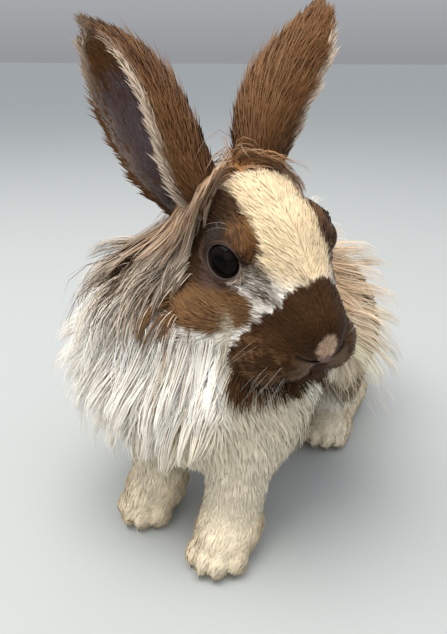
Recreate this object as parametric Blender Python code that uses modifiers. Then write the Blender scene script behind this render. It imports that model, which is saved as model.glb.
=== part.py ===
"""Lionhead rabbit, life size, standing on its four feet with its head turned to its left.

The flesh is one soft form. A field of rounded masses, blended where they meet, gives the
distance of any point from the outside of the coat, and every mesh of flesh is a voxel
remesh drawn onto that field. Thin cuts part it into head, neck, torso, tail and legs.
The mane, forelock and beard are flat tapered locks that grow out of the head and neck.
"""

import math

import bmesh
import bpy
import numpy as np
from mathutils import Matrix, Vector

# Sizes in this file are in millimetres, and MM turns them into Blender's metres.
MM = 0.001
GAP = 0.3
SEED = 7

# Driving sizes of the animal. It faces -Y, its left is +X, and the floor is Z 0.
FORE_SPREAD = 24.0
FORE_STAGGER = 8.5
HIND_SPREAD = 39.0
HIND_TOES_Y = 91.0
HIND_FOOT_LENGTH = 78.0
PAW_WIDTH = 32.0
WRIST_HEIGHT = 21.0
HEAD_CENTRE = (33.5, 16.5, 144.2)
HEAD_TURN = 50.5
HEAD_NOD = 21.3
HEAD_TILT = -6.4
EYE_RADIUS = 8.9
EYE_PLACE = (21.0, 1.0, 0.0)
EYE_OPENING = (8.2, 7.4)
LID = 1.7
EAR_ROOTS = {-1.0: (-11.0, -35.0, 11.0), 1.0: (4.0, -36.0, 11.0)}
EAR_TIPS = {-1.0: (-45.0, 4.5, 231.5), 1.0: (30.0, 76.5, 241.0)}
EAR_BREADTHS = {-1.0: 1.24, 1.0: 0.95}
EAR_WALL = 3.2
EAR_BENDS = {-1.0: 10.0, 1.0: 15.0}
EAR_BEND_LEANS = {-1.0: 1.4, 1.0: 0.8}
EAR_FRINGES = {-1.0: 0.25, 1.0: -0.62}
EAR_SUNK = -0.16
EAR_OPENINGS = {-1.0: (-0.97, 0.02, 0.1), 1.0: (0.97, -0.15, 0.1)}


def head_frame():
    """Columns are the head's own left, forward and up in the body's frame."""
    turn, nod, tilt = (math.radians(a) for a in (HEAD_TURN, HEAD_NOD, HEAD_TILT))
    forward = np.array([
        math.sin(turn) * math.cos(nod),
        -math.cos(turn) * math.cos(nod),
        -math.sin(nod),
    ])
    left = np.array([math.cos(turn), math.sin(turn), 0.0])
    up = np.cross(forward, left)
    left_tilted = math.cos(tilt) * left - math.sin(tilt) * up
    up_tilted = math.sin(tilt) * left + math.cos(tilt) * up
    return np.stack([left_tilted, forward, up_tilted], axis=1)


HEAD_AXES = head_frame()
HEAD_ORIGIN = np.array(HEAD_CENTRE)


def on_head(point):
    """A point given as left, forward, up from between the eyes, in the body's frame."""
    return HEAD_ORIGIN + HEAD_AXES @ np.asarray(point, float)


def turned(x=0.0, y=0.0, z=0.0):
    """A rotation matrix from angles in degrees about X, then Y, then Z."""
    order = Matrix.Rotation(math.radians(z), 3, "Z")
    order = order @ Matrix.Rotation(math.radians(y), 3, "Y")
    order = order @ Matrix.Rotation(math.radians(x), 3, "X")
    return np.array(order)


class Egg:
    """An ellipsoid of flesh: centre, three radii, its own axes and how softly it blends."""

    def __init__(self, centre, radii, blend, axes=None):
        self.centre = np.asarray(centre, float)
        self.radii = np.asarray(radii, float)
        self.blend = blend
        self.axes = np.eye(3) if axes is None else axes

    def distance(self, points):
        local = (points - self.centre) @ self.axes
        near = np.linalg.norm(local / self.radii, axis=1)
        steep = np.linalg.norm(local / self.radii**2, axis=1) + 1e-9
        return near * (near - 1.0) / steep

    def rough(self):
        """(centre, radii, axes) of a primitive that stands in for it before the remesh."""
        return self.centre, self.radii, self.axes


class Limb:
    """A round tapered stretch between two points."""

    def __init__(self, start, start_radius, end, end_radius, blend):
        self.start = np.asarray(start, float)
        self.end = np.asarray(end, float)
        self.radius = (start_radius, end_radius)
        self.blend = blend

    def distance(self, points):
        along = self.end - self.start
        share = np.clip((points - self.start) @ along / (along @ along), 0.0, 1.0)
        axis = self.start + share[:, None] * along
        thick = self.radius[0] + share * (self.radius[1] - self.radius[0])
        return np.linalg.norm(points - axis, axis=1) - thick

    def rough(self):
        along = self.end - self.start
        length = np.linalg.norm(along)
        z = along / length
        x = np.cross([0.0, 1.0, 0.0] if abs(z[1]) < 0.9 else [1.0, 0.0, 0.0], z)
        x /= np.linalg.norm(x)
        axes = np.stack([x, np.cross(z, x), z], axis=1)
        mean = sum(self.radius) / 2
        return (self.start + self.end) / 2, np.array([mean, mean, length / 2 + mean]), axes


def both_sides(make):
    """The mass that make(side) gives, for the left (+1) and the right (-1) side."""
    return [make(1.0), make(-1.0)]


def head_masses():
    """The head, as masses in its own frame."""

    def egg(centre, radii, blend, tilt=0.0, yaw=0.0):
        return Egg(on_head(centre), radii, blend, HEAD_AXES @ turned(x=tilt, z=yaw))

    def limb(start, start_radius, end, end_radius, blend):
        return Limb(on_head(start), start_radius, on_head(end), end_radius, blend)

    masses = [
        egg((0, -17, 0), (23, 28, 24), 8),
        egg((0, 4, 3), (19, 26, 18), 8, tilt=-18),
        limb((0, 8, 3.5), 16.0, (0, 38, -12), 13.5, 8),
        egg((0, 44, -19), (8.5, 8.0, 8.0), 4),
        limb((0, 8, -28), 16.0, (0, 31, -34), 10.5, 6),
        egg((0, 35, -39), (9.5, 9.5, 7.0), 4),
    ]
    masses += both_sides(lambda s: egg((s * 9.5, 36, -26), (12.5, 13.5, 12.5), 4, yaw=s * 8))
    masses += both_sides(lambda s: egg((s * 15.5, 28, -34), (12.5, 15, 13), 6, yaw=s * 12))
    masses += both_sides(lambda s: egg((s * 12, 8, -19), (14, 27, 19), 8, yaw=s * 10))
    masses += both_sides(lambda s: egg((s * 15, -14, -18), (14, 22, 21), 8))
    masses += both_sides(lambda s: egg((s * 18.5, 3, 8.5), (7.5, 12, 5.5), 5, tilt=-12, yaw=s * 6))
    return masses


COLLAR_CENTRE = (1.0, 24.0, 113.0)
COLLAR_RADII = (50.0, 40.0, 27.0)


def body_masses():
    """Neck, chest, ribs, belly, rump and tail, along the body's own length."""
    return [
        Limb(on_head((0, -26, -8)), 27, (2, 38, 104), 37, 12),
        Egg(COLLAR_CENTRE, COLLAR_RADII, 12, turned(z=HEAD_TURN)),
        Egg((0, 15, 71), (51, 37, 41), 12, turned(x=-12)),
        Egg((0, 46, 83), (53, 44, 36), 12),
        Egg((0, 94, 78), (48, 66, 40), 14),
        Egg((0, 146, 72), (46, 52, 44), 14, turned(x=-8)),
        Egg((0, 178, 60), (38, 30, 36), 12),
        Egg((0, 207, 68), (13, 15, 21), 6, turned(x=-24)),
    ]


def foreleg_masses(side):
    """One foreleg from the shoulder to its paw."""
    x = side * FORE_SPREAD
    y = -side * FORE_STAGGER
    toes = [
        Egg((x + side * across, y + ahead, 6.6), (5.8, 9.5, 7.8), 2.0, turned(z=side * splay))
        for across, ahead, splay in ((-9.6, -12, -6), (-3.3, -16.5, -2), (3.4, -16, 3), (9.6, -10.5, 8))
    ]
    return [
        Egg((side * 31, y * 0.5 + 26, 66), (21, 28, 34), 10, turned(x=-14)),
        Limb((side * 26, y + 14, 54), 18.0, (x, y + 4, 22), 15.0, 8),
        Egg((x, y - 1, 11.5), (PAW_WIDTH / 2, 19, 13.0), 6),
        *toes,
    ]


def hindleg_masses(side):
    """One haunch with its knee, hock and long flat foot."""
    x = side * HIND_SPREAD
    heel = HIND_TOES_Y + HIND_FOOT_LENGTH
    toes = [
        Egg((x + side * across, HIND_TOES_Y + back, 6.6), (5.6, 11.5, 7.6), 2.0, turned(z=side * splay))
        for across, back, splay in ((-9, 12.5, -5), (-3.1, 9.5, -2), (3.1, 10.5, 2), (9, 15, 6))
    ]
    return [
        Egg((side * 35, 146, 54), (22, 44, 41), 8, turned(x=-18)),
        Egg((side * 38, 115, 38), (18, 23, 23), 8, turned(x=-20)),
        Limb((x, heel - 12, 12), 12.8, (x, HIND_TOES_Y + 20, 10), 12.0, 6),
        Egg((x, HIND_TOES_Y + 20, 9), (14.5, 17, 10.5), 5),
        *toes,
    ]


MASSES = body_masses()
for one_side in (1.0, -1.0):
    MASSES += foreleg_masses(one_side)
    MASSES += hindleg_masses(one_side)
MASSES += head_masses()


def soft_union(first, second, blend):
    """The nearer of two distances, rounded over where they are within blend of each other."""
    share = np.clip(blend - np.abs(first - second), 0.0, None) / blend
    return np.minimum(first, second) - share * share * blend / 4.0


def coat_distance(points):
    """Distance in mm of each point from the outside of the coat, below 0 inside."""
    field = MASSES[0].distance(points)
    for mass in MASSES[1:]:
        field = soft_union(field, mass.distance(points), mass.blend)
    return field


def slope(field, points, step=0.15):
    """The gradient of a field by central differences."""
    parts = []
    for axis in range(3):
        shift = np.zeros(3)
        shift[axis] = step
        parts.append((field(points + shift) - field(points - shift)) / (2 * step))
    return np.stack(parts, axis=1)


def clear_scene():
    for old in list(bpy.data.objects):
        bpy.data.objects.remove(old, do_unlink=True)


def mesh_points(mesh):
    found = np.empty(len(mesh.vertices) * 3)
    mesh.vertices.foreach_get("co", found)
    return found.reshape(-1, 3)


def set_mesh_points(mesh, points):
    mesh.vertices.foreach_set("co", np.asarray(points, float).ravel())
    mesh.update()


def new_object(name, mesh):
    made = bpy.data.objects.new(name, mesh)
    bpy.context.scene.collection.objects.link(made)
    return made


def applied(thing):
    """Replaces an object's mesh by the mesh that its modifiers give."""
    graph = bpy.context.evaluated_depsgraph_get()
    fresh = bpy.data.meshes.new_from_object(thing.evaluated_get(graph))
    thing.modifiers.clear()
    old = thing.data
    thing.data = fresh
    bpy.data.meshes.remove(old)
    return thing


def matrix_of(axes, centre):
    """A 4 by 4 matrix from three axes, which may be scaled, and a centre."""
    rows = np.hstack([np.asarray(axes, float), np.reshape(centre, (3, 1))])
    return Matrix(np.vstack([rows, [[0, 0, 0, 1]]]).tolist())


def egg_object(name, centre, radii, axes=None, subdivisions=3):
    """An ellipsoid as a mesh object of its own."""
    axes = np.eye(3) if axes is None else axes
    shape = bmesh.new()
    place = matrix_of(axes @ np.diag(radii), centre)
    bmesh.ops.create_icosphere(shape, subdivisions=subdivisions, radius=1.0, matrix=place)
    bmesh.ops.recalc_face_normals(shape, faces=shape.faces)
    mesh = bpy.data.meshes.new(name)
    shape.to_mesh(mesh)
    shape.free()
    return new_object(name, mesh)


def half_space(name, point, normal, size=400.0):
    """A box whose top face passes through point, with the face's normal as given."""
    z = np.asarray(normal, float) / np.linalg.norm(normal)
    x = np.cross([0.0, 1.0, 0.0] if abs(z[1]) < 0.9 else [1.0, 0.0, 0.0], z)
    x /= np.linalg.norm(x)
    axes = np.stack([x, np.cross(z, x), z], axis=1)
    shape = bmesh.new()
    place = matrix_of(axes * size, np.asarray(point, float) - z * size / 2)
    bmesh.ops.create_cube(shape, size=1.0, matrix=place)
    mesh = bpy.data.meshes.new(name)
    shape.to_mesh(mesh)
    shape.free()
    return new_object(name, mesh)


def box_object(name, low, high):
    low, high = np.asarray(low, float), np.asarray(high, float)
    shape = bmesh.new()
    place = matrix_of(np.diag(high - low), (low + high) / 2)
    bmesh.ops.create_cube(shape, size=1.0, matrix=place)
    mesh = bpy.data.meshes.new(name)
    shape.to_mesh(mesh)
    shape.free()
    return new_object(name, mesh)


def copy_of(thing, name):
    return new_object(name, thing.data.copy())


def combine(thing, operation, tool, solver="MANIFOLD", keep_tool=False):
    """Applies one Boolean to thing, and removes the tool unless it's kept."""
    modifier = thing.modifiers.new("boolean", "BOOLEAN")
    modifier.operation = operation
    modifier.solver = solver
    modifier.object = tool
    applied(thing)
    if not keep_tool:
        bpy.data.objects.remove(tool, do_unlink=True)
    return thing


def largest_body(thing):
    """Keeps only the largest closed surface of a mesh."""
    shape = bmesh.new()
    shape.from_mesh(thing.data)
    bmesh.ops.remove_doubles(shape, verts=shape.verts, dist=1e-4)
    left = set(shape.faces)
    bodies = []
    while left:
        seed = left.pop()
        body, edge = {seed}, [seed]
        while edge:
            face = edge.pop()
            for side in face.edges:
                for other in side.link_faces:
                    if other in left:
                        left.discard(other)
                        body.add(other)
                        edge.append(other)
        bodies.append(body)
    bodies.sort(key=lambda body: sum(face.calc_area() for face in body), reverse=True)
    spare = [face for body in bodies[1:] for face in body]
    bmesh.ops.delete(shape, geom=spare, context="FACES")
    loose = [vertex for vertex in shape.verts if not vertex.link_faces]
    bmesh.ops.delete(shape, geom=loose, context="VERTS")
    bmesh.ops.triangulate(shape, faces=shape.faces)
    shape.to_mesh(thing.data)
    shape.free()
    return thing


def rough_body(masses, name):
    """The masses as plain primitives in one mesh, ready for the voxel remesh."""
    cage = bmesh.new()
    for mass in masses:
        centre, radii, axes = mass.rough()
        place = matrix_of(axes @ np.diag(radii), centre)
        bmesh.ops.create_icosphere(cage, subdivisions=3, radius=1.0, matrix=place)
    mesh = bpy.data.meshes.new(name)
    cage.to_mesh(mesh)
    cage.free()
    return new_object(name, mesh)


def drawn_onto_field(mesh, field, rounds=5):
    """Moves each point of a mesh onto the field's surface."""
    points = mesh_points(mesh)
    for _ in range(rounds):
        value = field(points)
        way = slope(field, points)
        step = value / np.maximum((way * way).sum(axis=1), 0.2)
        points -= np.clip(step, -3.0, 3.0)[:, None] * way
    set_mesh_points(mesh, points)


def flesh(name, voxel, field, masses, triangles):
    """A closed mesh of the field's surface, reduced to about this many triangles."""
    made = rough_body(masses, name)
    remesh = made.modifiers.new("remesh", "REMESH")
    remesh.mode = "VOXEL"
    remesh.voxel_size = voxel
    applied(made)
    drawn_onto_field(made.data, field)
    smooth = made.modifiers.new("smooth", "SMOOTH")
    smooth.iterations = 2
    applied(made)
    drawn_onto_field(made.data, field, rounds=2)
    fewer = made.modifiers.new("fewer", "DECIMATE")
    fewer.ratio = min(1.0, triangles / (2.0 * len(made.data.polygons)))
    fewer.use_collapse_triangulate = True
    applied(made)
    return made


def face_grooves():
    """Thin masses that the split lip, the mouth and the nostrils are cut by."""
    def groove(centre, radii, tilt=0.0, roll=0.0):
        return on_head(centre), radii, HEAD_AXES @ turned(x=tilt, y=roll)

    grooves = [groove((0, 50.0, -31.5), (1.0, 5.0, 8.0)), groove((0, 37.5, -38.6), (15.0, 14.0, 1.3), 8)]
    grooves += both_sides(lambda s: groove((s * 3.9, 51.2, -20.0), (3.2, 3.6, 1.1), roll=s * -30))
    return grooves


HEAD_MASS_COUNT = len(head_masses())

EAR_STATIONS = (0.0, 0.12, 0.3, 0.5, 0.7, 0.85, 0.95, 1.0)
EAR_HALF_WIDTHS = (24.0, 27.0, 31.0, 32.0, 28.0, 19.0, 11.0, 1.5)
EAR_CURLS = (152.0, 142.0, 118.0, 98.0, 85.0, 73.0, 60.0, 50.0)


def ear_surface(side, along, across, depth):
    """Points on an ear: along runs 0 to 1 from root to tip, across -1 to 1, depth in mm inward."""
    root = on_head(EAR_ROOTS[side])
    tip = np.array(EAR_TIPS[side])
    axis = (tip - root) / np.linalg.norm(tip - root)
    opening = HEAD_AXES @ np.array(EAR_OPENINGS[side])
    opening -= axis * (opening @ axis)
    opening /= np.linalg.norm(opening)
    width = np.cross(axis, opening)
    bend = EAR_BENDS[side] * np.sin(np.pi * np.clip(along, 0.0, 1.0) ** EAR_BEND_LEANS[side])
    half = EAR_BREADTHS[side] * np.interp(along, EAR_STATIONS, EAR_HALF_WIDTHS)
    curl = np.radians(np.interp(along, EAR_STATIONS, EAR_CURLS))
    radius = half / curl
    angle = across * curl
    near = radius - depth
    reach = along * np.linalg.norm(tip - root)
    spine = root + reach[..., None] * axis - bend[..., None] * opening
    arc = (radius - near * np.cos(angle))[..., None] * opening
    return spine + arc + (near * np.sin(angle))[..., None] * width


def ear(side, name, lengthwise=13, crosswise=9):
    """A curled leaf of even thickness that thins towards its tip and its edges."""
    along, across = np.meshgrid(
        np.linspace(EAR_SUNK, 1.0, lengthwise), np.linspace(-1.0, 1.0, crosswise), indexing="ij"
    )
    thin = np.clip(1.15 - along, 0.35, 1.0) * np.sqrt(np.clip(1.05 - across**2, 0.12, 1.0))
    outer = ear_surface(side, along, across, -0.5 * EAR_WALL * thin)
    inner = ear_surface(side, along, across, 0.5 * EAR_WALL * thin)
    shape = bmesh.new()
    rows = [[[shape.verts.new(p) for p in row] for row in layer] for layer in (outer, inner)]
    last_row, last = lengthwise - 1, crosswise - 1
    for i in range(last_row):
        for j in range(last):
            for layer, flip in ((rows[0], False), (rows[1], True)):
                quad = [layer[i][j], layer[i][j + 1], layer[i + 1][j + 1], layer[i + 1][j]]
                shape.faces.new(quad[::-1] if flip else quad)
    for i in range(last_row):
        for j, flip in ((0, True), (last, False)):
            quad = [rows[0][i][j], rows[1][i][j], rows[1][i + 1][j], rows[0][i + 1][j]]
            shape.faces.new(quad[::-1] if flip else quad)
    for j in range(last):
        for i, flip in ((0, False), (last_row, True)):
            quad = [rows[0][i][j], rows[1][i][j], rows[1][i][j + 1], rows[0][i][j + 1]]
            shape.faces.new(quad[::-1] if flip else quad)
    bmesh.ops.recalc_face_normals(shape, faces=shape.faces)
    bmesh.ops.triangulate(shape, faces=shape.faces)
    mesh = bpy.data.meshes.new(name)
    shape.to_mesh(mesh)
    shape.free()
    return new_object(name, mesh)


def swollen(thing, name, by):
    """A copy with each point moved out along its normal."""
    made = copy_of(thing, name)
    points = mesh_points(made.data)
    normals = np.empty(len(points) * 3)
    made.data.vertices.foreach_get("normal", normals)
    set_mesh_points(made.data, points + normals.reshape(-1, 3) * by)
    return made


def clear_of(thing, other):
    """Cuts thing back from another piece, with the thin gap between them."""
    combine(thing, "DIFFERENCE", copy_of(other, "cutter"))
    combine(thing, "DIFFERENCE", swollen(other, "cutter", GAP))


def eye_axes(side):
    """Columns: along the lids, up, and out of the head, for one eye."""
    out = np.array([side * 0.85, 0.47, 0.20])
    out /= np.linalg.norm(out)
    up = np.array([0.0, 0.0, 1.0]) - out * out[2]
    up /= np.linalg.norm(up)
    return HEAD_AXES @ np.stack([np.cross(up, out), up, out], axis=1)


def eye_centre(side):
    return on_head((side * EYE_PLACE[0], EYE_PLACE[1], EYE_PLACE[2]))


NECK_CUT = (on_head((0, -26, -36)), HEAD_AXES @ np.array([0.0, 0.3, 0.954]))
CHIN_LEVEL = 85.0
CHEST_CUT = (np.array([2.0, 36.0, 90.0]), np.array([0.0, -0.35, 0.937]))
FLOOR_BOX = ((-300, -300, -100), (300, 500, 0))


def head_region(point, normal, grow):
    """All that lies above the neck's cut and above the level under the chin."""
    normal = normal / np.linalg.norm(normal)
    region = half_space("tool", point - normal * grow, -normal)
    above = half_space("tool", (0, 0, CHIN_LEVEL - grow), (0, 0, -1))
    return combine(region, "INTERSECT", above)


def cut_pieces():
    """The flesh, parted into closed pieces with thin gaps between them."""
    body = flesh("body", 2.6, coat_distance, MASSES, 3100)
    combine(body, "DIFFERENCE", box_object("floor", *FLOOR_BOX))
    head_part = MASSES[-HEAD_MASS_COUNT:] + MASSES[:3]
    head = flesh("head", 1.3, coat_distance, head_part, 2900)
    neck_point, neck_normal = NECK_CUT
    chest_point, chest_normal = CHEST_CUT
    combine(head, "INTERSECT", head_region(neck_point, neck_normal, 0.0))
    for centre, radii, axes in face_grooves():
        combine(head, "DIFFERENCE", egg_object("groove", centre, radii, axes, 2))
    pieces = {"head": head}
    combine(body, "DIFFERENCE", head_region(neck_point, neck_normal, GAP))
    neck = copy_of(body, "neck")
    combine(neck, "DIFFERENCE", half_space("tool", chest_point + chest_normal * GAP, chest_normal))
    pieces["neck"] = neck
    combine(body, "INTERSECT", half_space("tool", chest_point, chest_normal))
    centre, radii = (0, 214, 70), (17, 18, 27)
    region = egg_object("tool", centre, radii, subdivisions=2)
    pieces["tail"] = combine(copy_of(body, "tail"), "INTERSECT", region)
    region = egg_object("tool", centre, np.add(radii, GAP), subdivisions=2)
    combine(body, "DIFFERENCE", region)
    for side, word in ((1.0, "left"), (-1.0, "right")):
        low_x, high_x = sorted((side * 1.0, side * 120.0))
        front = ((low_x, -80, -50), (high_x, 62, WRIST_HEIGHT))
        back = ((low_x, 62.5, -50), (high_x, 240, WRIST_HEIGHT))
        leg = ((side * 28, 8, 22), (24, 34, 38))
        haunch = ((side * 47, 146, 52), (25, 52, 49))
        pieces["forepaw_" + word] = combine(
            copy_of(body, "forepaw_" + word), "INTERSECT", box_object("tool", *front)
        )
        pieces["hind_foot_" + word] = combine(
            copy_of(body, "hind_foot_" + word), "INTERSECT", box_object("tool", *back)
        )
        for low, high in (front, back):
            raised = (high[0], high[1], high[2] + GAP)
            combine(body, "DIFFERENCE", box_object("tool", low, raised))
        for name, (centre, radii), detail in (("foreleg_", leg, 2), ("haunch_", haunch, 3)):
            region = egg_object("tool", centre, radii, subdivisions=detail)
            pieces[name + word] = combine(copy_of(body, name + word), "INTERSECT", region)
            region = egg_object("tool", centre, np.add(radii, GAP), subdivisions=detail)
            combine(body, "DIFFERENCE", region)
    body.name = "torso"
    pieces["torso"] = body
    return pieces


def open_eyes(head):
    """Adds the lids' bulge to the head and cuts each eye's opening and socket."""
    eyes = {}
    for side, word in ((1.0, "left"), (-1.0, "right")):
        centre, axes = eye_centre(side), eye_axes(side)
        lids = egg_object("lids", centre, (EYE_RADIUS + LID + 0.6,) * 2 + (EYE_RADIUS + LID,), axes)
        combine(head, "UNION", lids)
        wide, high = EYE_OPENING
        opening = egg_object(
            "opening", centre + axes[:, 2] * EYE_RADIUS, (wide * 1.1, high * 1.1, 9.0), axes
        )
        combine(head, "DIFFERENCE", opening)
        combine(head, "DIFFERENCE", egg_object("socket", centre, (EYE_RADIUS + GAP,) * 3, axes))
        eyes["eye_" + word] = egg_object("eye_" + word, centre, (EYE_RADIUS,) * 3, axes)
    return eyes


# Each kind of lock: length, half width, thickness, how far it stands off the body on its
# way and at its tip, and how strongly it falls.
LOCK_KINDS = {
    "crown": (56.0, 5.6, 2.6, 4.0, 5.0, 1.3),
    "brow": (30.0, 4.6, 2.2, 3.0, 5.0, 0.8),
    "temple": (62.0, 6.0, 2.6, 7.0, 16.0, 1.0),
    "cheek": (46.0, 5.6, 2.4, 3.0, 5.0, 1.6),
    "throat": (40.0, 5.6, 2.4, 3.0, 5.0, 1.8),
    "collar_under": (46.0, 6.6, 2.8, 2.5, 6.0, 1.2),
    "collar_over": (68.0, 6.6, 2.8, 9.0, 27.0, 0.7),
    "collar_far": (70.0, 6.6, 2.8, 12.0, 31.0, 0.6),
    "nape": (56.0, 7.0, 2.8, 5.0, 8.0, 0.8),
    "tail": (17.0, 5.0, 2.2, 1.5, 3.5, 0.5),
    "ear": (19.0, 3.8, 1.8, 1.5, 5.0, 0.0),
}
FLAT_ANGLE = 4.0
LOCK_STATIONS = (0.0, 0.32, 0.62, 0.86)
LOCK_WIDTHS = (0.8, 1.0, 0.86, 0.46)


def lock_seeds():
    """For each kind, the places to start from and the ways to lie, as (point, way) pairs."""
    chance = np.random.default_rng(SEED)

    def jitter(amount):
        return chance.uniform(-amount, amount)

    seeds = {kind: [] for kind in LOCK_KINDS}
    left, ahead, up = HEAD_AXES.T
    down = np.array([0.0, 0.0, -1.0])

    def ring(kind, count, low_front, low_back, first, last, outward, fall, back=0.0):
        for i in range(count):
            angle = math.radians(first + (last - first) * (i + 0.5 + jitter(0.15)) / count)
            across, forward = math.sin(angle), math.cos(angle)
            level = low_back + (low_front - low_back) * (0.5 + 0.5 * forward)
            point = on_head((across * 48, forward * 44 - 20, level + jitter(2.5)))
            out = left * across + ahead * forward
            seeds[kind].append((point, out * outward + down * fall - ahead * back))

    ring("collar_under", 13, -42, -24, 20, 340, 0.75, 0.7)
    ring("collar_far", 8, -31, -14, 34, 180, 0.95, 0.45)
    ring("collar_over", 8, -31, -14, 180, 326, 0.85, 0.55)
    ring("temple", 6, -14, -2, 62, 140, 0.85, 0.5)
    ring("temple", 6, -14, -2, 220, 298, 0.85, 0.5)
    ring("nape", 7, -4, 2, 135, 225, 0.7, 0.3, 0.3)
    for side in (1.0, -1.0):
        for i in range(5):
            row, place = divmod(i, 3)
            spot = (side * 40, 4 - place * 12 - row * 6 + jitter(2), -8 - row * 14 + jitter(2))
            way = left * side * 0.3 + down - ahead * 0.35
            seeds["cheek"].append((on_head(spot), way))
    for i in range(6):
        row, place = divmod(i, 3)
        spot = (-4 - row * 6, -26 + place * 8 + jitter(2), 34)
        way = -left * (0.9 + 0.2 * row) - ahead * 0.35 + up * 0.1
        seeds["crown"].append((on_head(spot), way))
    for i in range(3):
        spot = (7 + i * 3, -14 - i * 9 + jitter(2), 34)
        seeds["brow"].append((on_head(spot), left - ahead * (0.5 + 0.3 * i)))
    for i in range(7):
        row, place = divmod(i, 4)
        spot = (-12 + place * 8 + row * 4 + jitter(2), 18 - row * 14, -60)
        seeds["throat"].append((on_head(spot), down + ahead * 0.1 + left * (place - 1.5) * 0.25))
    for i in range(7):
        angle = 2 * math.pi * i / 7
        spot = np.array([12 * math.cos(angle), 232 + jitter(2), 70 + 16 * math.sin(angle)])
        seeds["tail"].append((spot, np.array([0.25 * math.cos(angle), 0.3, 0.8])))
    return seeds


def ear_locks(side):
    """(line, facing) of each small lock on the back of one ear, from root to tip."""
    chance = np.random.default_rng(SEED + 31)
    found = []
    for i in range(7):
        along = 0.14 + 0.12 * i + chance.uniform(-0.02, 0.02)
        across = EAR_FRINGES[side] + 0.1 * (-1) ** i + chance.uniform(-0.05, 0.05)
        share = np.linspace(0, 1, 9)
        reach = LOCK_KINDS["ear"][0] * chance.uniform(0.85, 1.2)
        rise = -0.5 * EAR_WALL + 1.4 - (1.4 + 5.0 * share) * share
        path = ear_surface(side, np.clip(along + share * reach / 84.0, 0, 1.0), across + 0 * share, rise)
        facing = ear_surface(side, np.full(9, along), np.full(9, across), np.full(9, -5.0))
        facing -= ear_surface(side, np.full(9, along), np.full(9, across), np.zeros(9))
        found.append((path, facing / 5.0))
    return found


def guard_distance(points):
    """The coat's distance, with room kept clear round the ears and the eyes."""
    field = coat_distance(points)
    for side in (1.0, -1.0):
        ear = Limb(on_head(EAR_ROOTS[side]), 9.0, EAR_TIPS[side], 14.0, 1.0)
        field = np.minimum(field, ear.distance(points))
        out = eye_centre(side) + eye_axes(side)[:, 2] * 6.0
        field = np.minimum(field, Egg(out, (14.0, 14.0, 14.0), 1.0).distance(points))
    return field


def lock_paths(kind, seeds):
    """Centre lines of the locks, and the way that each faces, at 13 points along."""
    length, _, _, height, flare, fall = LOCK_KINDS[kind]
    chance = np.random.default_rng(SEED + len(kind) * 101)
    points = np.array([point for point, _ in seeds])
    for _ in range(14):
        value = coat_distance(points)
        way = slope(coat_distance, points)
        points = points - np.clip(value, -6, 6)[:, None] * way / np.maximum(
            (way * way).sum(axis=1), 0.3)[:, None]
    normal = slope(coat_distance, points)
    normal /= np.linalg.norm(normal, axis=1)[:, None]
    heading = np.array([way for _, way in seeds])
    heading /= np.linalg.norm(heading, axis=1)[:, None]
    heading += chance.normal(0, 0.10, heading.shape)
    heading += normal * 0.35
    lengths = length * chance.uniform(0.82, 1.15, len(points))
    heights = chance.uniform(0.75, 1.25, len(points))
    sway = chance.normal(0, 0.05, heading.shape)
    steps = 12
    lines, facing = [points - normal * 2.2], [normal]
    for k in range(steps):
        share = (k + 1) / steps
        heading += np.array([0, 0, -1.0]) * fall / steps * 1.6 + sway
        heading /= np.linalg.norm(heading, axis=1)[:, None]
        points = points + heading * (lengths / steps)[:, None]
        value = guard_distance(points)
        normal = slope(guard_distance, points)
        normal /= np.linalg.norm(normal, axis=1)[:, None]
        wanted = heights * (height * min(1.0, share * 2.2) + (flare - height) * share**2)
        lift = np.where(wanted > value, wanted - value, np.clip(0.45 * (wanted - value), -2.5, 0))
        points = points + normal * lift[:, None]
        inward = np.clip(-(heading * normal).sum(axis=1), 0.0, None)
        heading += normal * (inward * 0.9 * (lift > 0))[:, None]
        lines.append(points)
        facing.append(normal)
    return [(kind, *pair) for pair in zip(np.stack(lines, axis=1), np.stack(facing, axis=1))]


def add_lock(line, facing, half_width, thickness, name):
    """One closed lock: a flat ribbon with a low ridge, which narrows to a point."""
    share = np.linspace(0, 1, len(line))
    tangent = np.gradient(line, axis=0)
    tangent /= np.linalg.norm(tangent, axis=1)[:, None]
    shape = bmesh.new()
    rings = []
    for station, width in zip(LOCK_STATIONS, LOCK_WIDTHS):
        at = np.array([np.interp(station, share, line[:, i]) for i in range(3)])
        along = np.array([np.interp(station, share, tangent[:, i]) for i in range(3)])
        face = np.array([np.interp(station, share, facing[:, i]) for i in range(3)])
        side = np.cross(along, face)
        side /= np.linalg.norm(side)
        front = np.cross(side, along)
        wide, thick = half_width * width, thickness * (0.4 + 0.6 * width)
        corners = (at + side * wide, at + front * thick, at - side * wide)
        rings.append([shape.verts.new(corner) for corner in corners])
    shape.faces.new(rings[0])
    for near, far in zip(rings, rings[1:]):
        for i in range(3):
            shape.faces.new((near[i], near[(i + 1) % 3], far[(i + 1) % 3], far[i]))
    tip = shape.verts.new(line[-1])
    for i in range(3):
        shape.faces.new((rings[-1][i], rings[-1][(i + 1) % 3], tip))
    bmesh.ops.recalc_face_normals(shape, faces=shape.faces)
    bmesh.ops.triangulate(shape, faces=shape.faces)
    mesh = bpy.data.meshes.new(name)
    shape.to_mesh(mesh)
    shape.free()
    return bpy.data.objects.new(name, mesh)


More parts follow.
